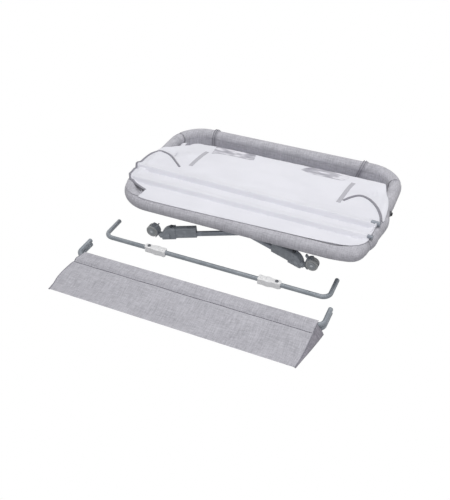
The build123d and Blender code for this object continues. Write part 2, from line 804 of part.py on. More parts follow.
def make_clip(side):
    """Snap-on clip of the support bar, with its screw at the outer end; side is -1 left, +1 right."""
    middle = support_bar_left + support_bar_length / 2 + side * clip_spread + clip_shift
    centre = at(middle, support_bar_y, 0)
    upper = [(along * clip_length * side, across * clip_width) for along, across in clip_outline]
    outline = upper + [(x, -y) for x, y in reversed(upper[1:-1])]
    with BuildPart() as clip:
        with BuildSketch(Plane(centre)):
            with BuildLine():
                Spline(outline, periodic=True)
            make_face()
        extrude(amount=clip_height)
        fillet(clip.faces().sort_by(Axis.Z)[-1].edges(), clip_edge)
        with BuildSketch(Plane(centre).offset(clip_height - overcut)):
            with Locations((clip_length * clip_bump_share * side, 0)):
                Ellipse(clip_length / 7, clip_width / 3)
        extrude(amount=clip_bump + overcut)
        fillet(clip.faces().sort_by(Axis.Z)[-1].edges(), clip_bump * 0.8)
        with BuildSketch(Plane(at(middle - clip_length, support_bar_y, support_bar_z), z_dir=(1, 0, 0))):
            Circle(support_bar_radius)
        extrude(amount=2 * clip_length, mode=Mode.SUBTRACT)
        with BuildSketch(Plane(centre).offset(clip_height)):
            with Locations((clip_length * clip_screw_share * side, 0)):
                Circle(screw_radius)
        extrude(amount=-screw_depth, mode=Mode.SUBTRACT)
    return clip.part


write(
    make_loop_tube(
        support_bar_left,
        support_bar_length,
        support_bar_y,
        support_bar_z,
        support_bar_arm,
        support_bar_radius,
        bar_wall,
        support_bar_bend,
    ),
    "support_bar",
)
write(make_clip(-1), "clip_left")
write(make_clip(1), "clip_right")

with BuildPart() as clip_screws:
    for side in (-1, 1):
        middle = support_bar_left + support_bar_length / 2 + side * clip_spread + clip_shift
        screw_top = at(middle + clip_length * clip_screw_share * side, support_bar_y, clip_height)
        with BuildSketch(Plane(screw_top)):
            Circle(screw_radius)
        extrude(amount=-screw_depth)
        with BuildSketch(Plane(screw_top)):
            Circle(screw_head_radius)
        extrude(amount=screw_head)
        with BuildSketch(Plane(screw_top).offset(screw_head)):
            Rectangle(2 * (screw_head_radius + overcut), screw_slot, rotation=screw_turn)
        extrude(amount=-screw_slot, mode=Mode.SUBTRACT)
write(clip_screws.part, "clip_screws")


# ---------------------------------------------------------------- storage shelf
for tube_name, tube_z in (("shelf_tube_bottom", shelf_tube_radius), ("shelf_tube_top", shelf_upper_z)):
    shelf_tube = make_loop_tube(
        shelf_left,
        shelf_length,
        shelf_y,
        tube_z,
        shelf_arm,
        shelf_tube_radius,
        shelf_tube_wall,
        shelf_bend,
        shelf_hole_radius,
    )
    write(shelf_tube, tube_name)

cloth_left = shelf_left + shelf_cloth_inset
cloth_right = shelf_left + shelf_length - shelf_cloth_inset
hem = shelf_tube_radius + slip
hem_out = hem + shelf_cloth_wall
cloth_top = shelf_upper_z + hem_out
back = shelf_y + hem_out
crease = shelf_y - shelf_cloth_depth
hem_front = shelf_y - hem_out
slope = [
    (hem_front + (crease - hem_front) * along, shelf_crease_height + (cloth_top - shelf_crease_height) * up)
    for along, up in ((0, 1), *shelf_cloth_slope, (1, 0))
]
with BuildPart() as shelf_cloth:
    with BuildSketch(Plane(at(cloth_left - shelf_cloth_flare_left, 0, 0), x_dir=(0, 1, 0), z_dir=(1, 0, 0))):
        with BuildLine():
            Polyline(slope[-1], (crease, shelf_cloth_lift), (back, shelf_cloth_lift), (back, cloth_top), slope[0])
            Spline(slope)
        make_face()
    extrude(amount=cloth_right - cloth_left + shelf_cloth_flare_left + shelf_cloth_flare_right)
    # seen from above, the cloth is wider at its crease than along the tubes
    with BuildSketch():
        with BuildLine():
            Polyline(
                at(cloth_left, hem_front, 0),
                at(cloth_left, back, 0),
                at(cloth_right, back, 0),
                at(cloth_right, hem_front, 0),
                at(cloth_right + shelf_cloth_flare_right, crease, 0),
                at(cloth_left - shelf_cloth_flare_left, crease, 0),
            )
            Spline(
                at(cloth_left - shelf_cloth_flare_left, crease, 0),
                at(cloth_left - shelf_cloth_flare_left * 0.7, (crease + hem_front) / 2, 0),
                at(cloth_left, hem_front, 0),
            )
        make_face()
    extrude(amount=cloth_top, mode=Mode.INTERSECT)
    with BuildSketch(Plane(at(cloth_left - overcut, shelf_y, 0), x_dir=(0, 1, 0), z_dir=(1, 0, 0))):
        with Locations((0, (shelf_upper_z + hem - overcut) / 2)):
            Rectangle(2 * hem, shelf_upper_z + hem + overcut)
    extrude(amount=cloth_right - cloth_left + 2 * overcut, mode=Mode.SUBTRACT)
write(shelf_cloth.part, "shelf_cloth")
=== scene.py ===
"""Looks of the folding bassinet that lies packed flat beside its support bar and storage shelf."""
import logging
import math
from collections.abc import Callable
from dataclasses import dataclass, field
from enum import Enum

import bmesh
import bpy
from mathutils import Matrix, Vector, noise


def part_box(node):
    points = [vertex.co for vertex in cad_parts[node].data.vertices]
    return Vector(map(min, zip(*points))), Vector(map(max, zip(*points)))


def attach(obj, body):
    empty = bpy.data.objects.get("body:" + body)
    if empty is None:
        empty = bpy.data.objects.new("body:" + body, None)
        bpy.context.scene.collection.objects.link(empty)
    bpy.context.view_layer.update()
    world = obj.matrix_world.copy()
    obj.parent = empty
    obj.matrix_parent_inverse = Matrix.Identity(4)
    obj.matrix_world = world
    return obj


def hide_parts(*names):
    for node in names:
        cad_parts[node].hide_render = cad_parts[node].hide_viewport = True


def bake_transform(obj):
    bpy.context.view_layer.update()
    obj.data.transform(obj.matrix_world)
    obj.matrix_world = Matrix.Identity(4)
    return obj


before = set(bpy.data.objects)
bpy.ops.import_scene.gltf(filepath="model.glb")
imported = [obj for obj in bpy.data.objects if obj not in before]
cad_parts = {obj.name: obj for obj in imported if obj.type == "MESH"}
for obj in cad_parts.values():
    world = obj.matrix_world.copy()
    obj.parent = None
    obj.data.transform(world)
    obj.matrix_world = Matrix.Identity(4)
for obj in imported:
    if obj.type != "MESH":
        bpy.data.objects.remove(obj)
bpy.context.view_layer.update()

LOG = logging.getLogger("bassinet")
MM = 0.001
UP = Vector((0, 0, 1))
# an edge whose faces turn by more than this, in radians, is a sharp one that gets rounded
SHARP_TURN = 0.8
# frames that a padded piece is given to swell and come to rest
SWELL_FRAMES = 20
# an angle that no edge reaches, for cloth that is smooth all over
SOFT_DEG = 180.0

Tree = bpy.types.NodeTree
Socket = bpy.types.NodeSocket
Piece = bpy.types.Object
Mesh = bmesh.types.BMesh
Plan = tuple[float, float]
# plan place, half width and height of a round bump, in millimetres
Spot = tuple[float, float, float, float]


# ------------------------------------------------------------------ shared helpers
def linear(hex_colour: str) -> tuple[float, float, float, float]:
    """Turn an sRGB hex colour into the linear colour that shaders take.

    Args:
        hex_colour: six hex digits, with or without a leading hash.

    Returns:
        The linear red, green, blue and an alpha of 1.
    """
    digits = hex_colour.lstrip("#")
    channels = [int(digits[i : i + 2], 16) / 255 for i in (0, 2, 4)]
    return (*[c / 12.92 if c <= 0.04045 else ((c + 0.055) / 1.055) ** 2.4 for c in channels], 1.0)


def add_node(tree: Tree, kind: str, inputs: dict | None = None, **settings) -> bpy.types.Node:
    """Add a node with its settings, its values and its links.

    Args:
        tree: the node tree of a material.
        kind: the node's type name.
        inputs: socket name or number to a value, or to the output socket that feeds it.
        **settings: properties of the node.

    Returns:
        The new node.
    """
    node = tree.nodes.new(kind)
    for key, value in settings.items():
        setattr(node, key, value)
    for key, value in (inputs or {}).items():
        if isinstance(value, Socket):
            tree.links.new(value, node.inputs[key])
        else:
            node.inputs[key].default_value = value
    return node


def tint(
    tree: Tree, shader: bpy.types.Node, factor: Socket, stops: list[tuple[float, str]]
) -> None:
    """Colour a shader through a ramp.

    Args:
        tree: the node tree of a material.
        shader: the principled shader.
        factor: the socket that drives the ramp.
        stops: pairs of position and hex colour, in order.
    """
    node = add_node(tree, "ShaderNodeValToRGB", {"Fac": factor})
    elements = node.color_ramp.elements
    while len(elements) < len(stops):
        elements.new(0.5)
    for element, (position, colour) in zip(elements, stops):
        element.position = position
        element.color = linear(colour)
    tree.links.new(node.outputs["Color"], shader.inputs["Base Color"])


def start_material(name: str, **constants) -> tuple[bpy.types.Material, Tree, bpy.types.Node]:
    """Start a material with one principled shader.

    Args:
        name: the real material and its finish.
        **constants: shader socket names, with underscores for spaces, to constant values.

    Returns:
        The material, its node tree and its shader.
    """
    material = bpy.data.materials.new(name)
    material.use_nodes = True
    tree = material.node_tree
    shader = tree.nodes["Principled BSDF"]
    for key, value in constants.items():
        shader.inputs[key.replace("_", " ")].default_value = value
    return material, tree, shader


def stretched_noise(
    tree: Tree, size_mm: tuple[float, float, float], detail: float = 2.0
) -> Socket:
    """Noise in the piece's own coordinates, with a grain size for each axis.

    Args:
        tree: the node tree of a material.
        size_mm: the grain's size along X, Y and Z in millimetres.
        detail: the noise's detail.

    Returns:
        The noise's value output.
    """
    where = add_node(tree, "ShaderNodeTexCoord").outputs["Object"]
    scale = tuple(1 / (size * MM) for size in size_mm)
    mapped = add_node(tree, "ShaderNodeMapping", {"Vector": where, "Scale": scale})
    values = {"Vector": mapped.outputs["Vector"], "Scale": 1.0, "Detail": detail}
    return add_node(tree, "ShaderNodeTexNoise", values).outputs["Fac"]


def mixed(tree: Tree, a: Socket | float, b: Socket | float, operation: str) -> Socket:
    """Join two values with a maths operation and return the result."""
    return add_node(tree, "ShaderNodeMath", {0: a, 1: b}, operation=operation).outputs[0]


def seen_directly(tree: Tree) -> Socket:
    """Return 1 for what the camera or a reflection sees, and 0 for light that lands on things."""
    path = add_node(tree, "ShaderNodeLightPath")
    return mixed(tree, path.outputs["Is Camera Ray"], path.outputs["Is Glossy Ray"], "MAXIMUM")


def bump(
    tree: Tree, shader: bpy.types.Node, height: Socket, strength: float, depth_mm: float
) -> None:
    """Give a shader surface relief.

    Args:
        tree: the node tree of a material.
        shader: the principled shader.
        height: the socket that holds the relief.
        strength: how strongly the relief shows, from 0 to 1.
        depth_mm: the relief's real depth in millimetres.
    """
    values = {"Height": height, "Strength": strength, "Distance": depth_mm * MM}
    node = add_node(tree, "ShaderNodeBump", values)
    tree.links.new(node.outputs["Normal"], shader.inputs["Normal"])


class Run(Enum):
    """Axis that a woven cloth's weft runs along."""

    ALONG_X = (1, 0)
    ALONG_Y = (0, 1)


# ------------------------------------------------------------------ finishes
@dataclass(frozen=True)
class MelangeWeave:
    """Polyester melange canvas, plain woven: mixed yarns give a soft heathered cross-hatch."""

    name: str
    run: Run = Run.ALONG_X
    light: str = "#CBCAD1"
    middle: str = "#B6B5BC"
    dark: str = "#9C9BA2"
    # the yarn is 0.5 mm thick, too fine to show, so the streaks are drawn 2 mm wide and 26 mm long
    streak_mm: float = 2.0
    streak_length_mm: float = 26.0
    patch_mm: float = 60.0
    # two noises and a quarter of a third one add up to 2.25 at most, which this brings back to 1
    levelled: float = 0.444

    def build(self) -> bpy.types.Material:
        """Build the material."""
        material, tree, shader = start_material(
            self.name,
            Roughness=0.92,
            Sheen_Weight=0.25,
            Sheen_Roughness=0.5,
            Specular_IOR_Level=0.25,
        )
        thin, long = self.streak_mm, self.streak_length_mm
        if self.run is Run.ALONG_X:
            weft, warp = (long, thin, thin), (thin, long, long)
        else:
            weft, warp = (thin, long, thin), (long, thin, long)
        crossed = mixed(tree, stretched_noise(tree, weft), stretched_noise(tree, warp), "ADD")
        patch = stretched_noise(tree, (self.patch_mm,) * 3, 1.0)
        uneven = mixed(tree, crossed, mixed(tree, patch, 0.25, "MULTIPLY"), "ADD")
        tone = mixed(tree, uneven, self.levelled, "MULTIPLY")
        tint(tree, shader, tone, [(0.34, self.dark), (0.5, self.middle), (0.66, self.light)])
        thread = mixed(tree, stretched_noise(tree, (1.2, 1.2, 1.2)), crossed, "ADD")
        bump(tree, shader, thread, 0.35, 0.5)
        return material


@dataclass(frozen=True)
class SoftKnit:
    """Brushed polyester knit lining: a matt, slightly blue white with a faint nap."""

    name: str = "polyester knit, brushed"
    colour: str = "#E5E5EC"
    shade: str = "#E1E1E8"

    def build(self) -> bpy.types.Material:
        """Build the material."""
        material, tree, shader = start_material(
            self.name, Roughness=0.85, Sheen_Weight=0.2, Sheen_Roughness=0.6, Specular_IOR_Level=0.2
        )
        cloud = stretched_noise(tree, (140, 90, 90), 2.0)
        tint(tree, shader, cloud, [(0.35, self.shade), (0.6, self.colour)])
        # loops are 0.8 mm apart
        bump(tree, shader, stretched_noise(tree, (0.8, 0.8, 0.8)), 0.2, 0.3)
        return material


@dataclass(frozen=True)
class SpacerMesh:
    """Polyester warp-knit netting: grey, half open, in folds that read as streaks."""

    name: str = "polyester netting, warp knit"
    colour: str = "#BCBBC3"
    dark: str = "#9C9BA5"
    light: str = "#E2E1E8"

    def build(self) -> bpy.types.Material:
        """Build the material."""
        material, tree, shader = start_material(self.name, Roughness=0.7, Specular_IOR_Level=0.3)
        fold = stretched_noise(tree, (46, 16, 16), 1.0)
        # holes are 1.5 mm apart, drawn 4 mm apart so that they show
        where = add_node(tree, "ShaderNodeTexCoord").outputs["Object"]
        values = {"Vector": where, "Scale": 1 / (4 * MM), "Randomness": 0.1}
        holes = add_node(tree, "ShaderNodeTexVoronoi", values)
        tone = mixed(tree, mixed(tree, holes.outputs["Distance"], 0.15, "MULTIPLY"), fold, "ADD")
        tint(tree, shader, tone, [(0.4, self.dark), (0.6, self.colour), (0.72, self.light)])
        bump(tree, shader, holes.outputs["Distance"], 0.2, 0.3)
        return material


@dataclass(frozen=True)
class GrosgrainTape:
    """Polyester binding tape, ribbed weave: a shade darker than the cover, with fine cross ribs."""

    name: str = "polyester tape, grosgrain"
    light: str = "#9A99A1"
    dark: str = "#7E7D86"

    def build(self) -> bpy.types.Material:
        """Build the material."""
        material, tree, shader = start_material(
            self.name, Roughness=0.8, Sheen_Weight=0.15, Specular_IOR_Level=0.3
        )
        # ribs are 0.7 mm apart, drawn as 2.5 mm streaks
        rib = stretched_noise(tree, (2.5, 2.5, 2.5), 3.0)
        tint(tree, shader, rib, [(0.35, self.dark), (0.65, self.light)])
        bump(tree, shader, rib, 0.3, 0.3)
        return material


@dataclass(frozen=True)
class PowderCoat:
    """Steel tube, powder coated: a satin slate grey with the coat's faint orange peel."""

    name: str = "steel tube, satin powder coat"
    colour: str = "#868C93"
    worn: str = "#979CA2"

    def build(self) -> bpy.types.Material:
        """Build the material."""
        material, tree, shader = start_material(
            self.name, Metallic=0.25, Roughness=0.42, Specular_IOR_Level=0.5
        )
        cloud = stretched_noise(tree, (35, 35, 35), 4.0)
        tint(tree, shader, cloud, [(0.4, self.colour), (0.7, self.worn)])
        # orange peel of a powder coat is about 1.5 mm across
        bump(tree, shader, stretched_noise(tree, (1.5, 1.5, 1.5)), 0.12, 0.1)
        return material


@dataclass(frozen=True)
class MouldedPlastic:
    """Injection-moulded ABS or nylon: even colour, fine spark grain and lighter rubbed patches."""

    name: str
    colour: str
    rubbed: str
    roughness: float = 0.5
    subsurface: float = 0.0

    def build(self) -> bpy.types.Material:
        """Build the material."""
        material, tree, shader = start_material(self.name, Roughness=self.roughness, IOR=1.5)
        shader.inputs["Subsurface Weight"].default_value = self.subsurface
        shader.inputs["Subsurface Radius"].default_value = (4 * MM,) * 3
        cloud = stretched_noise(tree, (12, 12, 12), 4.0)
        tint(tree, shader, cloud, [(0.45, self.colour), (0.75, self.rubbed)])
        # spark grain is 0.2 mm, drawn 0.9 mm
        bump(tree, shader, stretched_noise(tree, (0.9, 0.9, 0.9)), 0.15, 0.1)
        return material


@dataclass(frozen=True)
class ZincSteel:
    """Steel pin or screw, zinc plated and tumbled: a cool metal with fine random scuffs."""

    name: str = "steel, zinc plated"
    colour: str = "#A9ACB0"
    scuff: str = "#8B8E93"

    def build(self) -> bpy.types.Material:
        """Build the material."""
        material, tree, shader = start_material(self.name, Metallic=1.0, Roughness=0.35)
        cloud = stretched_noise(tree, (3, 3, 3), 5.0)
        tint(tree, shader, cloud, [(0.4, self.scuff), (0.6, self.colour)])
        bump(tree, shader, cloud, 0.1, 0.05)
        return material


FINISHES: dict[str, bpy.types.Material] = {}


def build_finishes() -> None:
    """Build every finish once and keep it by a short name."""
    makers = {
        "cover": MelangeWeave("polyester melange canvas, woven"),
        "cover_end": MelangeWeave("polyester melange canvas, woven, weft along Y", Run.ALONG_Y),
        "cover_seam": MelangeWeave(
            "polyester thread, grey, seam", light="#A4A3AA", middle="#8F8E95", dark="#7B7A82"
        ),
        # a darker copy of the cover: painted shade for the shelf's side gussets, which face away
        # from the light
        "cover_painted_shade": MelangeWeave(
            "polyester melange canvas, woven, painted shade",
            Run.ALONG_Y,
            light="#A9A6AE",
            middle="#918E97",
            dark="#7A7780",
        ),
        "knit": SoftKnit(),
        "net": SpacerMesh(),
        "tape": GrosgrainTape(),
        "pale_tape": GrosgrainTape("polyester tape, pale grosgrain", "#C0BFC6", "#ADACB4"),
        "strap": GrosgrainTape("polyester webbing, woven", "#B2B1B8", "#9A99A1"),
        "dark_tape": GrosgrainTape("polyester tape, dark grosgrain", "#6F6E77", "#58575F"),
        "coat": PowderCoat(),
        "leg_coat": PowderCoat("steel oval tube, satin powder coat", "#7E838B", "#9095A0"),
        "foot": MouldedPlastic("ABS, moulded, blue grey", "#8D9299", "#A4A9B0"),
        "hub": MouldedPlastic("nylon, moulded, dark grey", "#3C3E43", "#54575D", 0.55),
        "black": MouldedPlastic("nylon, moulded, near black", "#26272A", "#3A3B3F", 0.6),
        "tread": MouldedPlastic("thermoplastic rubber, moulded", "#A9ABAC", "#B9BBBC", 0.7),
        "wheel": MouldedPlastic("polypropylene, moulded, mid grey", "#989DA1", "#ABAFB3", 0.5),
        "clip": MouldedPlastic("acetal, moulded, milky white", "#F0F0F1", "#F6F6F7", 0.35, 0.2),
        "zinc": ZincSteel(),
    }
    for short, maker in makers.items():
        FINISHES[short] = maker.build()


# ------------------------------------------------------------------ places on the crib
@dataclass
class Rim:
    """Where the rim's tube runs, measured on the CAD model, in millimetres from its centre."""

    corner: float = 113.0
    pad: float = 25.0
    tube: float = 9.5
    centre: Vector = field(init=False)
    half_x: float = field(init=False)
    half_y: float = field(init=False)
    height: float = field(init=False)

    def __post_init__(self) -> None:
        """Measure the rim tube."""
        low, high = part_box("rim_tube")
        self.centre = (low + high) / 2
        self.half_x = (high.x - low.x) / 2 / MM - self.tube
        self.half_y = (high.y - low.y) / 2 / MM - self.tube
        self.height = self.centre.z / MM

    @property
    def corner_centre(self) -> Plan:
        """Plan place of the centre that a corner's arc turns about, where x and y are positive."""
        return self.half_x - self.corner, self.half_y - self.corner

    def at(self, x: float, y: float, z: float) -> Vector:
        """Turn millimetres, x and y from the rim's centre and z from the floor, into a place."""
        return Vector((self.centre.x + x * MM, self.centre.y + y * MM, z * MM))

    def on_arc(self, centre: Plan, out: Vector) -> Vector:
        """Place of the centreline where the corner arc about a centre faces outwards."""
        x, y = centre
        return self.at(x + self.corner * out.x, y + self.corner * out.y, self.height)

    def off_line(self, x: float, y: float) -> float:
        """Signed distance from the rim's centreline, negative inside."""
        cx, cy = self.corner_centre
        qx, qy = abs(x) - cx, abs(y) - cy
        outside = math.hypot(max(qx, 0), max(qy, 0))
        return outside + min(max(qx, qy), 0) - self.corner

    def pad_top(self, x: float, y: float, over: float) -> float:
        """Height of the padding's upper side, raised by a distance, or 0 beside it."""
        radius = self.pad + over
        off = self.off_line(x, y)
        return self.height + math.sqrt(radius**2 - off**2) if abs(off) < radius else 0.0


RIM = Rim()


def smooth_max(a: float, b: float, width: float) -> float:
    """The larger of two values, rounded where they meet over a width."""
    blend = max(width - abs(a - b), 0) / width
    return max(a, b) + blend * blend * width / 4


def smooth_step(low: float, high: float, value: float) -> float:
    """0 below low, 1 above high and an even S between them."""
    t = min(max((value - low) / (high - low), 0), 1)
    return t * t * (3 - 2 * t)


def bell(offset: float, width: float) -> float:
    """1 at no offset, falling evenly to nothing at about twice the width."""
    return math.exp(-((offset / width) ** 2))


def mound(x: float, y: float, spot: Spot) -> float:
    """Height of a round bump at a plan place."""
    u, v, wide, tall = spot
    return tall * math.exp(-((x - u) ** 2 + (y - v) ** 2) / (2 * wide * wide))


def rumple(x: float, y: float, size: float, seed: float) -> float:
    """Smooth noise from -1 to 1 over a patch size in millimetres."""
    return noise.noise(Vector((x / size, y / size, seed)))


def curve_through(knots: list, count: int) -> list[Vector]:
    """Sample a smooth line through knots, evenly along its length.

    Args:
        knots: points with two or three coordinates.
        count: how many points to return.

    Returns:
        The points, the ends included.
    """
    points = [Vector((*k, 0.0)[:3]) for k in knots]
    padded = [2 * points[0] - points[1], *points, 2 * points[-1] - points[-2]]
    steps = 24
    fine: list[Vector] = []
    for a, b, c, d in zip(padded, padded[1:], padded[2:], padded[3:]):
        for t in (step / steps for step in range(steps)):
            bend, twist = 2 * a - 5 * b + 4 * c - d, 3 * b - a - 3 * c + d
            fine.append(0.5 * (2 * b + (c - a) * t + bend * t * t + twist * t**3))
    fine.append(points[-1])
    lengths = [0.0]
    for a, b in zip(fine, fine[1:]):
        lengths.append(lengths[-1] + (b - a).length)
    result, k = [], 0
    for i in range(count):
        target = lengths[-1] * i / (count - 1)
        while k < len(fine) - 2 and lengths[k + 1] < target:
            k += 1
        part = (target - lengths[k]) / max(lengths[k + 1] - lengths[k], 1e-9)
        result.append(fine[k].lerp(fine[k + 1], part))
    return result


# ------------------------------------------------------------------ pieces
def link_new(name: str, data: bpy.types.ID) -> Piece:
    """Make an object of a mesh, a lamp or a camera and link it to the scene."""
    made = bpy.data.objects.new(name, data)
    bpy.context.scene.collection.objects.link(made)
    return made


def finish_piece(name: str, bm: Mesh, finish: str, *, sharp_deg: float = 50.0) -> Piece:
    """Turn a bmesh into a named piece with its finish.

    Args:
        name: the piece's name.
        bm: the mesh, in metres in the part's frame; it is freed.
        finish: the short name of the finish.
        sharp_deg: the angle from which an edge stays sharp.

    Returns:
        The new object, linked to the scene.
    """
    bm.edges.index_update()
    borders = [edge.index for edge in bm.edges if edge.is_boundary]
    mesh = bpy.data.meshes.new(name)
    bm.to_mesh(mesh)
    bm.free()
    piece = link_new(name, mesh)
    mesh.materials.append(FINISHES[finish])
    mesh.shade_smooth()
    mesh.set_sharp_from_angle(angle=math.radians(sharp_deg))
    for index in borders:
        mesh.edges[index].use_edge_sharp = True
    LOG.info("piece %s with %d faces", name, len(mesh.polygons))
    return piece


def grid(columns: int, rows: int, place: Callable[[float, float], Vector]) -> Mesh:
    """Make a sheet from a grid.

    Args:
        columns: faces along the first direction.
        rows: faces along the second direction.
        place: function from two numbers, 0 to 1, to a place in the part's frame.

    Returns:
        The sheet, with its faces turned up or outwards by the caller's choice of place.
    """
    bm = bmesh.new()
    bmesh.ops.create_grid(bm, x_segments=columns, y_segments=rows, size=0.5)
    for vert in bm.verts:
        vert.co = place(vert.co.x + 0.5, vert.co.y + 0.5)
    bm.normal_update()
    return bm


def add_part(target: Mesh, part: Mesh) -> None:
    """Add one bmesh to another and free it."""
    spare = bpy.data.meshes.new("part")
    part.to_mesh(spare)
    part.free()
    target.from_mesh(spare)
    bpy.data.meshes.remove(spare)


def thicken(piece: Piece, thickness_mm: float, offset: float = -1.0) -> None:
    """Give a sheet its real thickness."""
    solid = piece.modifiers.new("thickness", "SOLIDIFY")
    solid.thickness = thickness_mm * MM
    solid.offset = offset
    solid.use_even_offset = False


def subdivide(piece: Piece, levels: int = 1) -> None:
    """Round a piece with a subdivision surface."""
    surface = piece.modifiers.new("round", "SUBSURF")
    surface.levels = levels
    surface.render_levels = levels


def frame_along(points: list[Vector], index: int, up: Vector) -> Matrix:
    """Axes at a point of a line: Z along the line, Y near up."""
    before, after = points[max(index - 1, 0)], points[min(index + 1, len(points) - 1)]
    along = (after - before).normalized()
    side = up.cross(along).normalized()
    top = along.cross(side)
    axes = Matrix((side, top, along)).transposed().to_4x4()
    axes.translation = points[index]
    return axes


def grow_ring(bm: Mesh, ring: list, step: Matrix) -> list:
    """Extrude a ring of edges, move the new ring by a step and return its edges."""
    grown = bmesh.ops.extrude_edge_only(bm, edges=ring)["geom"]
    verts = [e for e in grown if isinstance(e, bmesh.types.BMVert)]
    bmesh.ops.transform(bm, matrix=step, verts=verts)
    edges = [e for e in grown if isinstance(e, bmesh.types.BMEdge)]
    return [e for e in edges if e.verts[0] in verts and e.verts[1] in verts]


def round_edges(bm: Mesh, width_mm: float, segments: int) -> None:
    """Round a mesh's sharp edges over a width."""
    edges = [e for e in bm.edges if len(e.link_faces) == 2 and e.calc_face_angle() > SHARP_TURN]
    shape = {"segments": segments, "profile": 0.5, "affect": "EDGES", "material": -1}
    bmesh.ops.bevel(bm, geom=edges, offset=width_mm * MM, **shape)


def tube(
    points: list[Vector], radius_mm: float, sides: int = 10, up: Vector = UP, squash: float = 1.0
) -> Mesh:
    """Sweep a round or oval section along a line.

    Args:
        points: the line, in the part's frame.
        radius_mm: half the section's width.
        sides: corners of the section.
        up: direction that the section's height leans towards.
        squash: the section's height as a share of its width.

    Returns:
        The closed tube.
    """
    bm = bmesh.new()
    places = [frame_along(points, i, up) for i in range(len(points))]
    made = bmesh.ops.create_circle(bm, segments=sides, radius=radius_mm * MM, cap_ends=False)
    bmesh.ops.scale(bm, vec=(1, squash, 1), verts=made["verts"])
    bmesh.ops.transform(bm, matrix=places[0], verts=made["verts"])
    ring = list(bm.edges)
    first = ring
    for last, now in zip(places, places[1:]):
        ring = grow_ring(bm, ring, now @ last.inverted())
    bmesh.ops.contextual_create(bm, geom=first)
    bmesh.ops.contextual_create(bm, geom=ring)
    bmesh.ops.recalc_face_normals(bm, faces=bm.faces)
    return bm


def rod(bm: Mesh, sides: int, radii_mm: Plan, length_mm: float, place: Matrix) -> None:
    """Add a closed rod or cone about a place, its axis along the place's Z."""
    bottom, top = (radius * MM for radius in radii_mm)
    size = {"radius1": bottom, "radius2": top, "depth": length_mm * MM}
    bmesh.ops.create_cone(bm, cap_ends=True, segments=sides, matrix=place, **size)


def stitches(
    points: list[Vector], pitch_mm: float, length_mm: float, radius_mm: float, up: Vector
) -> Mesh:
    """Lay a row of stitches along a line.

    Args:
        points: the line, in the part's frame.
        pitch_mm: distance from one stitch to the next.
        length_mm: length of a stitch.
        radius_mm: thread radius.
        up: direction away from the cloth.

    Returns:
        All stitches in one mesh.
    """
    bm = bmesh.new()
    total = sum((b - a).length for a, b in zip(points, points[1:]))
    even = curve_through([tuple(p) for p in points], max(int(total / (pitch_mm * MM)), 2))
    for index in range(len(even) - 1):
        place = frame_along(even, index, up) @ Matrix.Diagonal((1, 0.7, 1, 1))
        rod(bm, 6, (radius_mm, radius_mm), length_mm, place)
    return bm


def paint(finish: str, *nodes: str) -> None:
    """Give CAD nodes a finish."""
    for node in nodes:
        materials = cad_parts[node].data.materials
        materials.clear()
        materials.append(FINISHES[finish])


def inflate(piece: Piece, voxel_mm: float, pressure: float, cap_mm: float) -> None:
    """Swell a padded piece with a short cloth simulation and keep the result.

    Args:
        piece: the closed mesh, a little smaller than the finished pad.
        voxel_mm: spacing of the mesh that is simulated.
        pressure: the cloth's inner pressure.
        cap_mm: how far a point may move.
    """
    scene = bpy.context.scene
    for other in bpy.context.selected_objects:
        other.select_set(False)
    piece.select_set(True)
    bpy.context.view_layer.objects.active = piece
    remesh = piece.modifiers.new("even", "REMESH")
    remesh.mode = "VOXEL"
    remesh.voxel_size = voxel_mm * MM
    bpy.ops.object.modifier_apply(modifier=remesh.name)
    rest = [v.co.copy() for v in piece.data.vertices]
    cloth = piece.modifiers.new("swell", "CLOTH")
    cloth.settings.use_pressure = True
    cloth.settings.uniform_pressure_force = pressure
    cloth.settings.effector_weights.gravity = 0
    cloth.settings.quality = 4
    cloth.settings.tension_stiffness = 12
    cloth.settings.compression_stiffness = 12
    cloth.point_cache.frame_end = SWELL_FRAMES
    for number in range(1, SWELL_FRAMES + 1):
        scene.frame_set(number)
    shape = piece.evaluated_get(bpy.context.evaluated_depsgraph_get())
    moved = [v.co.copy() for v in shape.data.vertices]
    piece.modifiers.remove(cloth)
    scene.frame_set(1)
    for vert, was, now in zip(piece.data.vertices, rest, moved):
        step = now - was
        vert.co = was + step * min(1, cap_mm * MM / max(step.length, 1e-9))
    piece.data.shade_smooth()


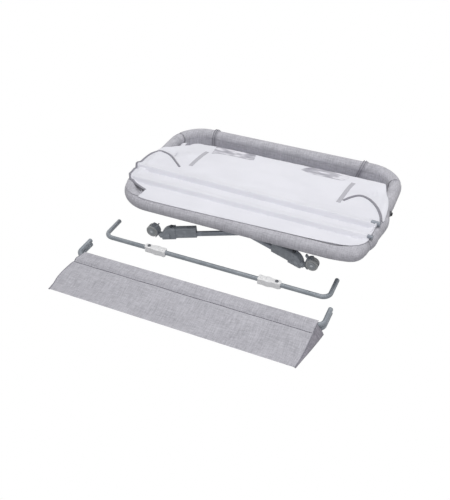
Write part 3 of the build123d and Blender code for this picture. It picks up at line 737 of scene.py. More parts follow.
# ------------------------------------------------------------------ padded rim
@dataclass
class PaddedRim:
    """The cover on the rim tube: four pads, corner seams, straps and two skirts."""

    radius: float = 23.6
    seam_deg: float = 20.0
    skirt_top: float = 124.0
    skirt_bottom: float = 92.0
    skirt_inset: float = 23.4
    strap_width: float = 17.0
    strap_bottom: float = 68.0
    strap_kick: float = 12.0
    sides: int = 28
    # length of a face along the straight stretches
    step: float = 12.0
    # where the cover stands off its padding, or clings to it
    sags: tuple[Spot, ...] = (
        (470, 10, 16, -5),
        (472, -60, 30, 7),
        (466, -150, 22, -5),
        (452, -205, 20, -9),
        (418, -272, 26, 13),
    )

    def pad(self, centre_a: Plan, centre_b: Plan, start_deg: float, turn_deg: float) -> Mesh:
        """Sweep one pad, counter-clockwise: a corner arc, a straight stretch and another arc.

        Args:
            centre_a: centre of the first corner arc, in millimetres from the rim's centre.
            centre_b: centre of the second corner arc.
            start_deg: angle of the first seam about the first centre.
            turn_deg: degrees of each arc.

        Returns:
            The pad as a closed tube with drawn-in ends.
        """
        bm = bmesh.new()
        angle = math.radians(start_deg)
        out = Vector((math.cos(angle), math.sin(angle), 0))
        turn = Matrix((out, UP, Vector((-out.y, out.x, 0)))).transposed().to_4x4()
        turn.translation = RIM.on_arc(centre_a, out)
        radius = self.radius * MM
        bmesh.ops.create_circle(bm, segments=self.sides, radius=radius, matrix=turn)
        first = list(bm.edges)
        ring = self.arc(bm, first, centre_a, turn_deg)
        run = Vector((centre_b[0] - centre_a[0], centre_b[1] - centre_a[1], 0)) * MM
        steps = max(int(run.length / (self.step * MM)), 1)
        for _ in range(steps):
            ring = grow_ring(bm, ring, Matrix.Translation(run / steps))
        ring = self.arc(bm, ring, centre_b, turn_deg)
        for vert in bm.verts:
            self.sag(vert)
        for loop in (first, ring):
            cap = bmesh.ops.contextual_create(bm, geom=loop)["faces"]
            bmesh.ops.inset_region(bm, faces=cap, thickness=self.radius * 0.35 * MM, depth=MM)
        bmesh.ops.recalc_face_normals(bm, faces=bm.faces)
        return bm

    def sag(self, vert: bmesh.types.BMVert) -> None:
        """Let the cover's outer side stand off or cling at the places in sags."""
        x, y = (vert.co.x - RIM.centre.x) / MM, (vert.co.y - RIM.centre.y) / MM
        off = RIM.off_line(x, y)
        amount = sum(mound(x, y, spot) for spot in self.sags)
        out = Vector((RIM.off_line(x + 1, y) - off, RIM.off_line(x, y + 1) - off, 0))
        vert.co += out * amount * smooth_step(-4, 18, off) * MM

    def arc(self, bm: Mesh, ring: list, centre: Plan, turn: float) -> list:
        """Spin a ring of edges about a corner's centre and return the last ring."""
        verts = list({v for e in ring for v in e.verts})
        spun = bmesh.ops.spin(
            bm,
            geom=verts + ring,
            cent=RIM.at(*centre, RIM.height),
            axis=(0, 0, 1),
            angle=math.radians(turn),
            steps=max(int(turn / 6), 2),
            use_merge=False,
            use_duplicate=False,
        )["geom_last"]
        return [e for e in spun if isinstance(e, bmesh.types.BMEdge)]

    def build(self) -> None:
        """Build the pads, the seams, the straps and the skirts."""
        cx, cy = RIM.corner_centre
        seam, rest = self.seam_deg, 90 - self.seam_deg
        layout = {
            "front": ((-cx, -cy), (cx, -cy), 180 + seam, rest, "cover"),
            "right": ((cx, -cy), (cx, cy), -seam, seam, "cover_end"),
            "back": ((cx, cy), (-cx, cy), seam, rest, "cover"),
            "left": ((-cx, cy), (-cx, -cy), 180 - seam, seam, "cover_end"),
        }
        for end, (a, b, start, turn, finish) in layout.items():
            bm = self.pad(a, b, start, turn)
            piece = finish_piece("rim_cover_" + end, bm, finish, sharp_deg=SOFT_DEG)
            inflate(piece, voxel_mm=6.0, pressure=3.0, cap_mm=2.0)
            subdivide(piece)
            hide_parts("rim_pad_" + end)
            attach(piece, "basket")
        self.build_seams()
        self.build_straps()
        self.build_skirt()

    def build_seams(self) -> None:
        """Build the drawn-in corner seams."""
        cx, cy = RIM.corner_centre
        seam = math.radians(self.seam_deg)
        for end, sx in (("left", -1), ("right", 1)):
            for row, sy in (("front", -1), ("back", 1)):
                angle = math.atan2(sy * math.sin(seam), sx * math.cos(seam))
                out = Vector((math.cos(angle), math.sin(angle), 0))
                centre = RIM.on_arc((sx * cx, sy * cy), out)
                ring = [
                    centre + (out * math.cos(t) + UP * math.sin(t)) * (self.radius + 0.4) * MM
                    for t in [math.radians(80 + 140 * i / 30) for i in range(31)]
                ]
                bm = tube(ring, 0.9, 8, Vector((-out.y, out.x, 0)))
                piece = finish_piece(f"rim_seam_{end}_{row}", bm, "cover_seam")
                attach(piece, "basket")

    def build_straps(self) -> None:
        """Build the straps that wrap the back pad and run down its skirt, and their stitches."""
        radius = RIM.pad + 1.0
        wrap, fall = radius * math.radians(235), RIM.height - self.strap_bottom
        for name, x, lean in (("strap_left", -311.0, -3.0), ("strap_right", 306.0, -22.0)):

            def place(
                u: float, v: float, lift: float = 0.0, x: float = x, lean: float = lean
            ) -> Vector:
                run = u * (wrap + fall)
                shift = lean * smooth_step(wrap * 0.6, wrap + fall, run)
                side = x + (v - 0.5) * self.strap_width + shift
                if run < wrap:
                    angle = math.radians(-55) + run / radius
                    out, rise = (radius + lift) * math.cos(angle), (radius + lift) * math.sin(angle)
                    return RIM.at(side, RIM.half_y + out, RIM.height + rise)
                off = radius + lift + self.strap_kick * smooth_step(0.4, 1.0, (run - wrap) / fall)
                return RIM.at(side, RIM.half_y - off, RIM.height - (run - wrap))

            bm = grid(60, 6, place)
            bmesh.ops.reverse_faces(bm, faces=bm.faces)
            piece = finish_piece(name, bm, "strap")
            thicken(piece, 1.2, 1.0)
            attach(piece, "basket")
            rows = bmesh.new()
            for edge in (0.1, 0.62):
                line = [place(i / 70, edge, 1.5) for i in range(71)]
                add_part(rows, stitches(line, 5.0, 4.4, 1.0, Vector((1, 0, 0))))
            thread = finish_piece(name + "_stitches", rows, "dark_tape")
            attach(thread, "basket")
            if x < 0:
                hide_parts("rim_straps")

    def build_skirt(self) -> None:
        """Build the cover's skirts that hang inside the rim, under the front and the back pad."""
        cx, cy = RIM.corner_centre
        turn = math.radians(90 - self.seam_deg)
        inner = RIM.corner - self.skirt_inset
        around = 2 * cx + 2 * turn * inner
        drop = self.skirt_top - self.skirt_bottom
        for end, row in (("front", -1), ("back", 1)):

            def place(u: float, v: float, row: int = row) -> Vector:
                run = u * around
                x, y = run - turn * inner - cx, cy + inner
                if run < turn * inner or run > around - turn * inner:
                    side = -1 if run < turn * inner else 1
                    past = turn * inner - run if side < 0 else run - around + turn * inner
                    angle = past / inner
                    x, y = side * (cx + inner * math.sin(angle)), cy + inner * math.cos(angle)
                sway = 2.2 * rumple(x, 90 * row, 45, 3.0) * v + 1.2 * rumple(x, 40 * v, 16, 4.0) * v
                z = self.skirt_top - drop * v + 1.5 * rumple(x, row, 70, 5.0) * v
                return RIM.at(x, row * (y - abs(sway)), z)

            bm = grid(200, 8, place)
            if row < 0:
                bmesh.ops.reverse_faces(bm, faces=bm.faces)
            piece = finish_piece("rim_skirt_" + end, bm, "cover", sharp_deg=SOFT_DEG)
            thicken(piece, 2.0, 0.0)
            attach(piece, "basket")


# ------------------------------------------------------------------ basket cloth
@dataclass
class BasketCloth:
    """The white fabric basket, collapsed: bed cloth, floor flap with round ends, walls, trims."""

    floor_top: float = 149.6
    flap_top: float = 153.0
    flap_thickness: float = 1.4
    bed_thickness: float = 2.0
    wall_thickness: float = 1.4
    # width of one face of a wall
    wall_face: float = 8.0
    # flat depth of a wall in metres
    wall_depth: float = 0.19
    # how far a corner wall runs on past its arc, over the end wall and over the other one
    laps: tuple[float, float] = (34.0, 18.0)
    # the flap's two ridges: y at the middle, slope against x, and height as a share
    ridges: tuple[tuple[float, float, float], ...] = ((-104.5, -0.023, 1.0), (-181, -0.014, 0.85))
    ridge_height: float = 13.0
    ridge_front: float = 5.5
    ridge_back: float = 22.0
    # the groove in front of each ridge
    groove_depth: float = 7.0
    groove_offset: float = 10.0
    groove_width: float = 4.5
    tape_width: float = 15.0
    stub_radius: float = 9.0
    stub_sink: float = 3.2
    # two distances from the middle, for a passage from the floor to the rim that hold works out but
    # no piece follows
    hold_floor: float = 300.0
    hold_rim: float = 425.0
    # hollows in the bed's corners, with a swell between the two on the left
    hollows: tuple[Spot, ...] = ((-396, 52, 16, 9), (-330, 62, 14, -6), (394, 92, 20, 9))

    def bed_height(self, x: float, y: float) -> float:
        """Height of the bed cloth, which falls behind the board's back edge."""
        low = self.floor_top + 1.2 + 1.1 * rumple(x, y, 90, 1.0) + 0.8 * rumple(x, y, 35, 2.0)
        low -= 20 * smooth_step(158, 200, y) + 10 * smooth_step(-62, -86, y)
        for hollow in self.hollows:
            low -= mound(x, y, hollow)
        return smooth_max(low, RIM.pad_top(x, y, 2.2), 6)

    def flap_height(self, x: float, y: float) -> float:
        """Height of the floor flap, with its two ridges."""
        low = self.flap_top + 1.2 * rumple(x, y, 110, 5.0) + 0.6 * rumple(x, y, 40, 6.0)
        for middle, slope, share in self.ridges:
            off = y - (middle + slope * x)
            width = self.ridge_front if off < 0 else self.ridge_back
            low += self.ridge_height * share * bell(off, width)
            low -= self.groove_depth * share * bell(off + self.groove_offset, self.groove_width)
        along = smooth_step(-420, -330, x) * (1 - smooth_step(300, 340, x))
        low -= 2.5 * smooth_step(-75, -40, y) * along
        over = 3.2 - 3.0 * smooth_step(-24, -14, RIM.off_line(x, y))
        return smooth_max(low, RIM.pad_top(x, y, over), 7)

    def cloth(
        self,
        name: str,
        front: list,
        back: list,
        size: tuple[int, int],
        height: Callable[[float, float], float],
        thickness: float,
        finish: str = "knit",
        slot: str = "liner_fabric",
    ) -> Piece:
        """Lay a cloth between a front edge and a back edge.

        Args:
            name: the piece's name.
            front: knots of the front edge, from left to right.
            back: knots of the back edge, from left to right.
            size: faces along and across.
            height: function from x and y to the cloth's height.
            thickness: the cloth's thickness.
            finish: short name of the finish.
            slot: the record's material slot; not used.

        Returns:
            The piece.
        """
        lower = curve_through(front, size[0] + 1)
        upper = curve_through(back, size[0] + 1)

        def place(u: float, v: float) -> Vector:
            at = round(u * size[0])
            spot = lower[at].lerp(upper[at], v)
            return RIM.at(spot.x, spot.y, height(spot.x, spot.y))

        piece = finish_piece(name, grid(*size, place), finish, sharp_deg=SOFT_DEG)
        thicken(piece, thickness)
        return piece

    def hold(self, piece: Piece, side: int) -> None:
        """Bake a piece's place into its mesh; side is -1 left, +1 right, and the ends worked out
        from it go unused.
        """
        start = RIM.at(side * self.hold_rim, 0, RIM.height)
        end = RIM.at(side * self.hold_floor, 0, RIM.height)
        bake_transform(piece)

    def build(self) -> None:
        """Build all of the basket's cloth."""
        self.build_bed()
        self.build_flap()
        self.build_walls()
        self.build_tapes()
        self.build_netting()

    def build_bed(self) -> None:
        """Build the bed cloth in three panels that meet under the tapes."""
        left_front = [(-462, -110), (-436, -150), (-402, -180), (-370, -212), (-336, -248)]
        left_back = [(-466, -60), (-468, 0), (-460, 44), (-438, 75), (-406, 106), (-352, 135)]
        middle_front = [(-292, -257), (-100, -257), (100, -257), (292, -257)]
        middle_back = [(-292, 156), (-262, 184), (-180, 196), (0, 197), (180, 197), (292, 192)]
        right_front = [(340, -253), (385, -236), (416, -205), (432, -165), (436, -130)]
        right_back = [(340, 192), (380, 188), (404, 176), (418, 140), (430, 94)]
        right_back += [(446, 50), (456, 0), (461, -70)]
        left = ([*left_front, middle_front[0]], [*left_back, middle_back[0]])
        right = ([middle_front[-1], *right_front], [middle_back[-1], *right_back])
        panels = (
            ("bed_left", *left, (56, 100), (0.17, 0.40), -1),
            ("bed_middle", middle_front, middle_back, (130, 100), (0.584, 0.46), 0),
            ("bed_right", *right, (56, 100), (0.16, 0.40), 1),
        )
        for name, front, back, size, flat, side in panels:
            piece = self.cloth(name, front, back, size, self.bed_height, self.bed_thickness)
            if side:
                self.hold(piece, side)
            else:
                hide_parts("floor_cloth")
                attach(piece, "basket_floor")

    def build_flap(self) -> None:
        """Build the floor flap, whose ends lie over the rim, with its piping and bar ends."""
        ear = [(-474, -20), (-466, 16), (-444, 36), (-419, 38), (-386, 22)]
        left_end = [(-449, -186), (-468, -150), (-474, -80)]
        right_front = [(0, -275), (93, -272), (196, -267), (296, -261), (377, -254)]
        right_front += [(416, -238), (436, -212), (441, -185), (440, -150), (439, -109)]
        right_back = [(0, -46), (250, -40), (290, -14), (318, 22), (347, 45), (377, 39)]
        right_back += [(404, 16), (426, -14), (443, -52), (452, -84), (439, -109)]
        end_front = [*left_end[::-1], (-410, -206), (-366, -225)]
        end_back = [left_end[-1], *ear, (-366, 4)]
        left_front = [(-366, -277), (-314, -282), (-123, -279), (0, -275)]
        left_back = [(-366, 4), (-354, -6), (-326, -32), (-250, -42), (0, -46)]
        panels = (
            ("floor_flap_end_left", end_front, end_back, (40, 100), (0.11, 0.20), -1),
            ("floor_flap_left", left_front, left_back, (90, 110), (0.37, 0.27), -1),
            ("floor_flap_right", right_front, right_back, (110, 110), (0.45, 0.27), 1),
        )
        for name, front, back, size, flat, side in panels:
            piece = self.cloth(name, front, back, size, self.flap_height, self.flap_thickness)
            self.hold(piece, side)
        self.pipe("flap_piping_left", [*left_end, *ear, (-354, -6), (-326, -32)], -1, 4.2)
        self.pipe("flap_piping_right", [(300, -4), *right_back[3:10]], 1, 5.0)
        self.pipe("flap_piping_front", [(-449, -186), (-410, -206), (-366, -225)], -1, 4.6)
        self.build_gore()
        self.build_bar_ends()

    def build_bar_ends(self) -> None:
        """Build the ends of the two cross bars that show at the right of the flap."""
        stubs = bmesh.new()
        for start, end, thick in (
            ((424, -107), (455, -109), 1.0),
            ((432, -186), (450, -189), 0.75),
        ):
            height = self.flap_height(*start) - self.stub_sink
            a, b = RIM.at(*start, height), RIM.at(*end, height)
            line = [a.lerp(b, t) for t in (0, 0.3, 0.32, 0.86, 0.88, 1)]
            bar = tube(line, self.stub_radius * thick, 20)
            round_edges(bar, 1.2, 3)
            add_part(stubs, bar)
        piece = finish_piece("flap_bar_ends", stubs, "leg_coat")
        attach(piece, "basket")

    def build_gore(self) -> None:
        """Build the cover's gore that shows between the flap's bound edge and the front pad."""
        front = [(-468, -120), (-462, -180), (-440, -232), (-402, -264), (-350, -274)]
        back = [(-456, -120), (-440, -176), (-408, -198), (-370, -217), (-340, -246)]

        def height(x: float, y: float) -> float:
            return smooth_max(self.floor_top - 9, RIM.pad_top(x, y, 0.6), 5)

        name, size = "rim_corner_gore", (48, 16)
        piece = self.cloth(name, front, back, size, height, 1.6, "cover", "fabric_rim")
        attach(piece, "basket")

    def pipe(self, name: str, knots: list, side: int, radius: float) -> None:
        """Lay a bound edge along the flap's edge.

        Args:
            name: the piece's name.
            knots: plan points of the edge.
            side: the end of the basket, -1 left or +1 right.
            radius: half the bound edge's width.
        """
        places = curve_through(knots, 60)
        line = [RIM.at(p.x, p.y, self.flap_height(p.x, p.y) + 0.4) for p in places]
        piece = finish_piece(name, tube(line, radius, 12, squash=0.7), "tape")
        self.hold(piece, side)

    def wall(
        self, name: str, outline: list, line: list
    ) -> None:
        """Build one wall cloth, folded between the rim and the floor.

        Args:
            name: the piece's name.
            outline: two plan points that the wall runs between, at the rim.
            line: knots of its section: distance inward from the rim's centreline and height.
        """
        section = curve_through(line, 31)
        (x0, y0), (x1, y1) = outline
        inward = Vector((-(y1 - y0), x1 - x0, 0)).normalized()
        length = math.hypot(x1 - x0, y1 - y0)
        columns = max(int(length / self.wall_face), 8)

        def place(u: float, v: float) -> Vector:
            knot = section[round(v * 30)]
            fold = math.sin(v * math.pi)
            x, y = x0 + (x1 - x0) * u, y0 + (y1 - y0) * u
            off = knot.x + 5 * rumple(x, y, 50, 9.0) * fold
            z = knot.y + 4 * rumple(x + 300, y, 40, 9.5) * fold
            return RIM.at(x + inward.x * off, y + inward.y * off, z)

        bm = grid(columns, 30, place)
        piece = finish_piece(name, bm, "knit", sharp_deg=SOFT_DEG)
        thicken(piece, self.wall_thickness, 0.0)
        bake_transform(piece)
        if name == "wall_back":
            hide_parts("liner_walls")

    def build_walls(self) -> None:
        """Build the four walls between the rim and the floor, and the four corner walls."""
        hx, hy, z = RIM.half_x, RIM.half_y, RIM.height
        back = [(27, 98), (29, 80), (38, 62), (52, 76), (60, 90)]
        back += [(70, 98), (86, 90), (102, 104), (107, 126)]
        front = [(27, 98), (50, 94), (84, 96), (104, 106), (84, 114)]
        front += [(52, 116), (34, 122), (28, 134), (20, 147)]
        end = [(27, 120), (40, 104), (66, 108), (80, 118), (64, 127)]
        end += [(46, 124), (36, 134), (46, 143), (60, 146)]
        top, low = RIM.at(0, hy - 27, z), RIM.at(0, hy - 106, z)
        self.wall("wall_back", [(330, hy), (-330, hy)], back)
        top, low = RIM.at(0, 0, 98), RIM.at(0, 0, 146)
        self.wall("wall_front", [(-330, -hy), (330, -hy)], front)
        for name, side in (("wall_left", -1), ("wall_right", 1)):
            top, low = RIM.at(side * (hx - 27), 0, z), RIM.at(side * (hx - 60), 0, z)
            self.wall(name, [(side * hx, -side * 150), (side * hx, side * 150)], end)

        front_end = [(27, 98), (34, 96), (44, 97), (54, 105), (60, 113)]
        front_end += [(62, 117), (62, 122), (62, 134), (62, 144)]
        back_end = [(27, 96), (32, 98), (38, 101), (44, 104), (50, 107)]
        back_end += [(55, 110), (59, 113), (62, 116), (64, 120)]
        back_row = [(27, 96), (40, 98), (54, 101), (66, 104), (76, 107)]
        back_row += [(86, 110), (94, 113), (101, 116), (106, 120)]
        for tail, side in (("left", -1), ("right", 1)):
            name = "wall_corner_front_" + tail
            self.corner(name, side, -1, (front_end, front), (98, 146), (0.10, 0.13))
            name = "wall_corner_back_" + tail
            self.corner(name, side, 1, (back_end, back_row), (96, 120), (0.10, 0.07))

    def corner(
        self, name: str, side: int, row: int, lines: tuple[list, list], drops: Plan, flat: Plan
    ) -> None:
        """Build the wall round one corner, between an end wall and the front or back wall.

        Args:
            name: the piece's name.
            side: the end of the basket, -1 left or +1 right.
            row: -1 front or +1 back.
            lines: knots of its section at the end wall and at the other wall.
            drops: heights at which it would follow the rim alone and the floor alone; the places
                made from them go unused.
            flat: its flat size in metres; not used.
        """
        cx, cy = RIM.corner_centre
        turn = RIM.corner * math.pi / 2
        near, far = (curve_through(line, 25) for line in lines)

        def place(u: float, v: float) -> Vector:
            run = u * (turn + sum(self.laps)) - self.laps[0]
            angle = min(max(run / RIM.corner, 0.0), math.pi / 2)
            knot = near[round(v * 24)].lerp(far[round(v * 24)], smooth_step(0, 1, u))
            reach = RIM.corner - knot.x
            x = cx + reach * math.cos(angle) - max(run - turn, 0)
            y = cy + reach * math.sin(angle) + min(run, 0)
            return RIM.at(side * x, row * y, knot.y)

        bm = grid(26, 24, place)
        if side * row < 0:
            bmesh.ops.reverse_faces(bm, faces=bm.faces)
        piece = finish_piece(name, bm, "knit", sharp_deg=SOFT_DEG)
        thicken(piece, self.wall_thickness, 0.0)
        start, end = (RIM.at(0, 0, drop) for drop in drops)
        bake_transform(piece)

    def build_tapes(self) -> None:
        """Build the tapes on the bed's seams."""
        for name, knots in (
            ("seam_tape_left", [(-278, 112), (-284, 80), (-289, 38), (-292, -8)]),
            ("seam_tape_right", [(303, 120), (297, 88), (293, 45), (287, -21)]),
        ):
            line = curve_through(knots, 40)

            def place(u: float, v: float, line: list = line) -> Vector:
                spot = line[round(u * 39)]
                z = self.bed_height(spot.x, spot.y) + 1.2
                return RIM.at(spot.x + (v - 0.5) * self.tape_width, spot.y, z)

            bm = grid(39, 5, place)
            bmesh.ops.reverse_faces(bm, faces=bm.faces)
            piece = finish_piece(name, bm, "pale_tape")
            thicken(piece, 1.0, 1.0)
            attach(piece, "basket_floor")

    def build_netting(self) -> None:
        """Build the crumpled netting windows at the bed's back edge."""
        left_front = [(-258, 108), (-230, 118), (-165, 122), (-110, 121), (-88, 126)]
        left_back = [(-262, 186), (-232, 194), (-190, 196), (-140, 190), (-94, 160)]
        right_front = [(98, 132), (150, 118), (214, 120), (258, 120), (278, 140)]
        right_back = [(100, 138), (160, 190), (211, 197), (256, 196), (280, 190)]
        for name, front, back in (
            ("net_left", left_front, left_back),
            ("net_right", right_front, right_back),
        ):
            lower, upper = curve_through(front, 61), curve_through(back, 61)

            def spot(u: float, v: float, lower: list = lower, upper: list = upper) -> Vector:
                p = lower[round(u * 60)].lerp(upper[round(u * 60)], v)
                z = self.bed_height(p.x, p.y) + 0.9 + 0.3 * rumple(p.x, p.y, 30, 8.0)
                return RIM.at(p.x, p.y, z)

            piece = finish_piece(name, grid(60, 24, spot), "net")
            thicken(piece, 0.5)
            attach(piece, "basket_floor")


# ------------------------------------------------------------------ stand and hardware
@dataclass
class Stand:
    """Leg frames, hubs, feet and casters: the CAD solids' finishes and the wheels' centres."""

    cap_radius: float = 13.5
    # each step of the moulded centre, from the outside in: its width and how far it stands out
    cap_steps: tuple[Plan, ...] = ((1.5, 0.9), (5.0, -0.7), (3.0, 0.6))

    def build(self) -> None:
        """Give every solid of the stand its finish and add the wheel centres."""
        paint("coat", "rim_tube", "floor_bar_front", "floor_bar_back")
        paint("hub", "floor_bar_caps")
        paint("knit", "floor_board")
        for side in ("left", "right"):
            paint("hub", "hub_" + side, "yoke_" + side)
            paint("zinc", "hinge_pin_" + side)
            paint("black", "release_button_" + side)
            for row in ("front", "back"):
                tail = f"{side}_{row}"
                paint("leg_coat", "leg_post_" + tail)
                paint("foot", "foot_" + tail, "height_sleeve_" + tail, "caster_fork_" + tail)
                paint("hub", "height_button_" + tail)
                paint("tread", "caster_wheels_" + tail)
                paint("zinc", "caster_axle_" + tail)
                self.build_wheel_centres(tail)

    def build_wheel_centres(self, tail: str) -> None:
        """Build the lighter moulded centre on both faces of a caster, named by its side and row."""
        low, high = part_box("caster_wheels_" + tail)
        centre = (low + high) / 2
        bm = bmesh.new()
        for end in (-1, 1):
            face = centre + Vector((0, end * (high.y - low.y) / 2, 0))
            place = Matrix.Translation(face) @ Matrix.Rotation(-end * math.pi / 2, 4, "X")
            part = bmesh.new()
            bmesh.ops.create_circle(part, segments=40, radius=self.cap_radius * MM, cap_ends=True)
            for width, depth in self.cap_steps:
                inner = min(part.faces, key=lambda f: f.calc_center_median().length_squared)
                size = {"thickness": width * MM, "depth": depth * MM}
                bmesh.ops.inset_region(part, faces=[inner], **size)
            bmesh.ops.transform(part, matrix=place, verts=part.verts)
            add_part(bm, part)
        piece = finish_piece("wheel_centres_" + tail, bm, "wheel")
        thicken(piece, 0.8)
        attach(piece, tail + "_wheels")


@dataclass
class LooseParts:
    """The support bar with its clips and the storage shelf."""

    plug_radius: float = 8.4
    plug_depth: float = 3.0
    # where the hem's seam lies, as a share of the way from the tubes to the crease
    seam_share: float = 0.274
    # share of the folded cloth's faces in its upper layer, the rest lie under it on the floor
    upper_share: float = 0.56
    low: Vector = field(init=False)
    high: Vector = field(init=False)

    def __post_init__(self) -> None:
        """Measure the shelf's cloth."""
        self.low, self.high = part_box("shelf_cloth")

    def build(self) -> None:
        """Dress the bar, then build the shelf's cloth and the plugs in the tube ends."""
        paint("coat", "support_bar", "shelf_tube_top", "shelf_tube_bottom")
        paint("clip", "clip_left", "clip_right")
        paint("zinc", "clip_screws")
        self.build_plugs()
        self.build_shelf_cloth()

    def build_plugs(self) -> None:
        """Build the plastic plugs that close the ends of the tubes."""
        for node, body in (
            ("support_bar", "support_bar"),
            ("shelf_tube_top", "storage_shelf"),
            ("shelf_tube_bottom", "storage_shelf"),
        ):
            low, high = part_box(node)
            z = (low.z + high.z) / 2
            bm = bmesh.new()
            for x in (low.x + 8 * MM, high.x - 8 * MM):
                place = Matrix.Translation((x, high.y, z)) @ Matrix.Rotation(math.pi / 2, 4, "X")
                rod(bm, 32, (self.plug_radius * 0.86, self.plug_radius), self.plug_depth, place)
            round_edges(bm, 0.6, 2)
            piece = finish_piece(node + "_plugs", bm, "foot")
            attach(piece, body)

    def shelf_line(self, t: float) -> float:
        """Height of the folded cloth's upper layer by its distance from the tubes, as shares."""
        hem = 1.0 - 0.10 * smooth_step(0.10, 0.24, t)
        fall = 0.86 * smooth_step(0.0, 1.0, (t - 0.10) / 0.90) ** 0.9
        return hem - fall + 0.16 * bell(t - 0.21, 0.035) - 0.1 * bell(t - 0.275, 0.02)

    def edge_x(self, side: int, t: float) -> float:
        """X of the cloth's left or right edge, which flares towards the crease, t from 0 to 1."""
        if side < 0:
            inset = 27 - 31 * smooth_step(-0.1, 0.72, t) + 5 * smooth_step(0.7, 1.0, t)
            return self.low.x + inset * MM
        return self.high.x + (4 - 12 * t * t) * MM

    def build_shelf_cloth(self) -> None:
        """Build the shelf cloth: two layers that meet in a crease, seam, gussets and bindings."""
        low, high = self.low, self.high
        depth, tall = high.y - low.y, high.z - low.z

        def upper(u: float, t: float, lift: float = 0.0) -> Vector:
            x = self.edge_x(-1, t) + (self.edge_x(1, t) - self.edge_x(-1, t)) * u
            wave = 1.4 * rumple(x / MM, t * 180, 70, 1.5) + 0.5 * rumple(x / MM, t * 180, 24, 2.5)
            z = low.z + tall * self.shelf_line(t) + (wave * min(t * 6, 1) + lift) * MM
            return Vector((x, high.y - depth * t, max(z, low.z + 3 * MM)))

        def place(u: float, v: float) -> Vector:
            if v < self.upper_share:
                return upper(u, v / self.upper_share)
            spot = upper(u, 1 - (v - self.upper_share) / (1 - self.upper_share))
            return Vector((spot.x, spot.y, low.z + 0.8 * MM))

        bm = grid(150, 84, place)
        bmesh.ops.reverse_faces(bm, faces=bm.faces)
        piece = finish_piece("shelf_cloth_folded", bm, "cover", sharp_deg=120)
        thicken(piece, 1.2, 0.0)
        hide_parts("shelf_cloth")
        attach(piece, "storage_shelf")
        line = [upper(i / 120, self.seam_share, 1.0) for i in range(121)]
        seam = stitches(line, pitch_mm=5.5, length_mm=4.6, radius_mm=1.4, up=UP)
        thread = finish_piece("shelf_seam", seam, "dark_tape")
        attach(thread, "storage_shelf")
        for name, side in (("shelf_gusset_left", -1), ("shelf_gusset_right", 1)):

            def gusset(u: float, v: float, side: int = side) -> Vector:
                t = 0.1 + 0.9 * u
                top = upper(0 if side < 0 else 1, t)
                z = top.z + (low.z + 0.6 * MM - top.z) * v
                bulge = math.sin(v * math.pi)
                out = (27 * (1 - t) * v + 3 * bulge) * MM if side > 0 else -4 * bulge * MM
                return Vector((max(top.x + out, low.x - 4 * MM), top.y, z))

            bm = grid(60, 12, gusset)
            bmesh.ops.recalc_face_normals(bm, faces=bm.faces)
            # the gussets take the darker copy of the cover, painted shade for sides that face away
            # from the light
            piece = finish_piece(name, bm, "cover_painted_shade", sharp_deg=SOFT_DEG)
            thicken(piece, 1.0, 0.0)
            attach(piece, "storage_shelf")
            edge = [upper(0 if side < 0 else 1, t / 60) for t in range(4, 61)]
            binding = finish_piece(name + "_binding", tube(edge, 1.8, 8), "tape")
            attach(binding, "storage_shelf")


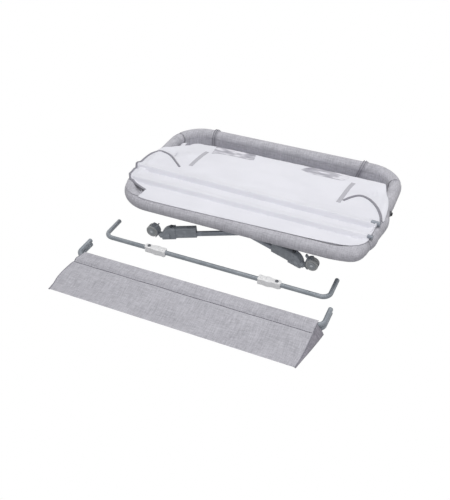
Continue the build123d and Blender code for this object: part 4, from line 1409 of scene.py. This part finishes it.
# ------------------------------------------------------------------ studio
@dataclass
class Studio:
    """Floor, lights, sky and camera, in metres, with the lens and its sensor in millimetres."""

    turn_deg: float = 23.8
    rise_deg: float = 38.0
    distance: float = 2.383
    lens: float = 53.98
    sensor: float = 36.0
    # plan place that the camera looks at, in millimetres from the rim's centre
    aim: Plan = (-42.6, -251.2)
    floor_size: float = 6.0
    # name, place, width and power in watts of each lamp
    lamps: tuple[tuple[str, tuple[float, float, float], float, float], ...] = (
        ("key", (-0.9, 0.3, 3.2), 2.2, 9),
        ("fill", (1.0, -2.6, 1.9), 2.4, 25),
        ("near", (0.2, 0.45, 2.2), 1.6, 19),
    )

    def build(self) -> None:
        """Build the studio."""
        self.build_floor()
        self.build_lights()
        self.build_camera()

    def build_floor(self) -> None:
        """Build the pale floor, which the camera and reflections see as plain white."""
        bm = bmesh.new()
        bmesh.ops.create_grid(bm, x_segments=1, y_segments=1, size=self.floor_size)
        mesh = bpy.data.meshes.new("floor")
        bm.to_mesh(mesh)
        bm.free()
        floor = link_new("floor", mesh)
        material, tree, shader = start_material(
            "painted floor, matt white",
            Roughness=0.9,
            Specular_IOR_Level=0.1,
            Base_Color=linear("#A4A4A8"),
        )
        seen = seen_directly(tree)
        glow = add_node(tree, "ShaderNodeEmission", {"Color": (1, 1, 1, 1), "Strength": 1.0})
        ends = {0: seen, 1: shader.outputs[0], 2: glow.outputs[0]}
        choose = add_node(tree, "ShaderNodeMixShader", ends)
        tree.links.new(choose.outputs[0], tree.nodes["Material Output"].inputs["Surface"])
        mesh.materials.append(material)

    def build_lights(self) -> None:
        """Build the three broad lamps and the white sky."""
        for name, place, size, watts in self.lamps:
            data = bpy.data.lights.new(name, "AREA")
            data.size = size
            data.energy = watts
            light = link_new(name, data)
            light.location = place
            light.rotation_euler = (-Vector(place)).to_track_quat("-Z", "Y").to_euler()
        world = bpy.data.worlds.new("sky")
        world.use_nodes = True
        tree = world.node_tree
        seen = seen_directly(tree)
        values = {"Value": seen, "To Min": 0.5, "To Max": 1.0}
        strength = add_node(tree, "ShaderNodeMapRange", values)
        tree.links.new(strength.outputs[0], tree.nodes["Background"].inputs["Strength"])
        tree.nodes["Background"].inputs["Color"].default_value = (1, 1, 1, 1)
        bpy.context.scene.world = world

    def build_camera(self) -> None:
        """Place the camera."""
        turn, rise = math.radians(self.turn_deg), math.radians(self.rise_deg)
        target = RIM.at(*self.aim, 0)
        level = Vector((math.sin(turn), -math.cos(turn), 0))
        away = level * math.cos(rise) + UP * math.sin(rise)
        data = bpy.data.cameras.new("camera")
        data.sensor_fit = "HORIZONTAL"
        data.sensor_width = self.sensor
        data.lens = self.lens
        camera = link_new("camera", data)
        camera.location = target + away * self.distance
        camera.rotation_euler = (-away).to_track_quat("-Z", "Y").to_euler()
        bpy.context.scene.camera = camera


def main() -> None:
    """Build the studio and every sub-assembly in order."""
    logging.basicConfig(level=logging.INFO)
    bpy.context.scene.view_settings.view_transform = "Standard"
    build_finishes()
    for part in (Studio(), PaddedRim(), BasketCloth(), Stand(), LooseParts()):
        LOG.info("building %s", type(part).__name__)
        part.build()


if __name__ == "__main__":
    main()
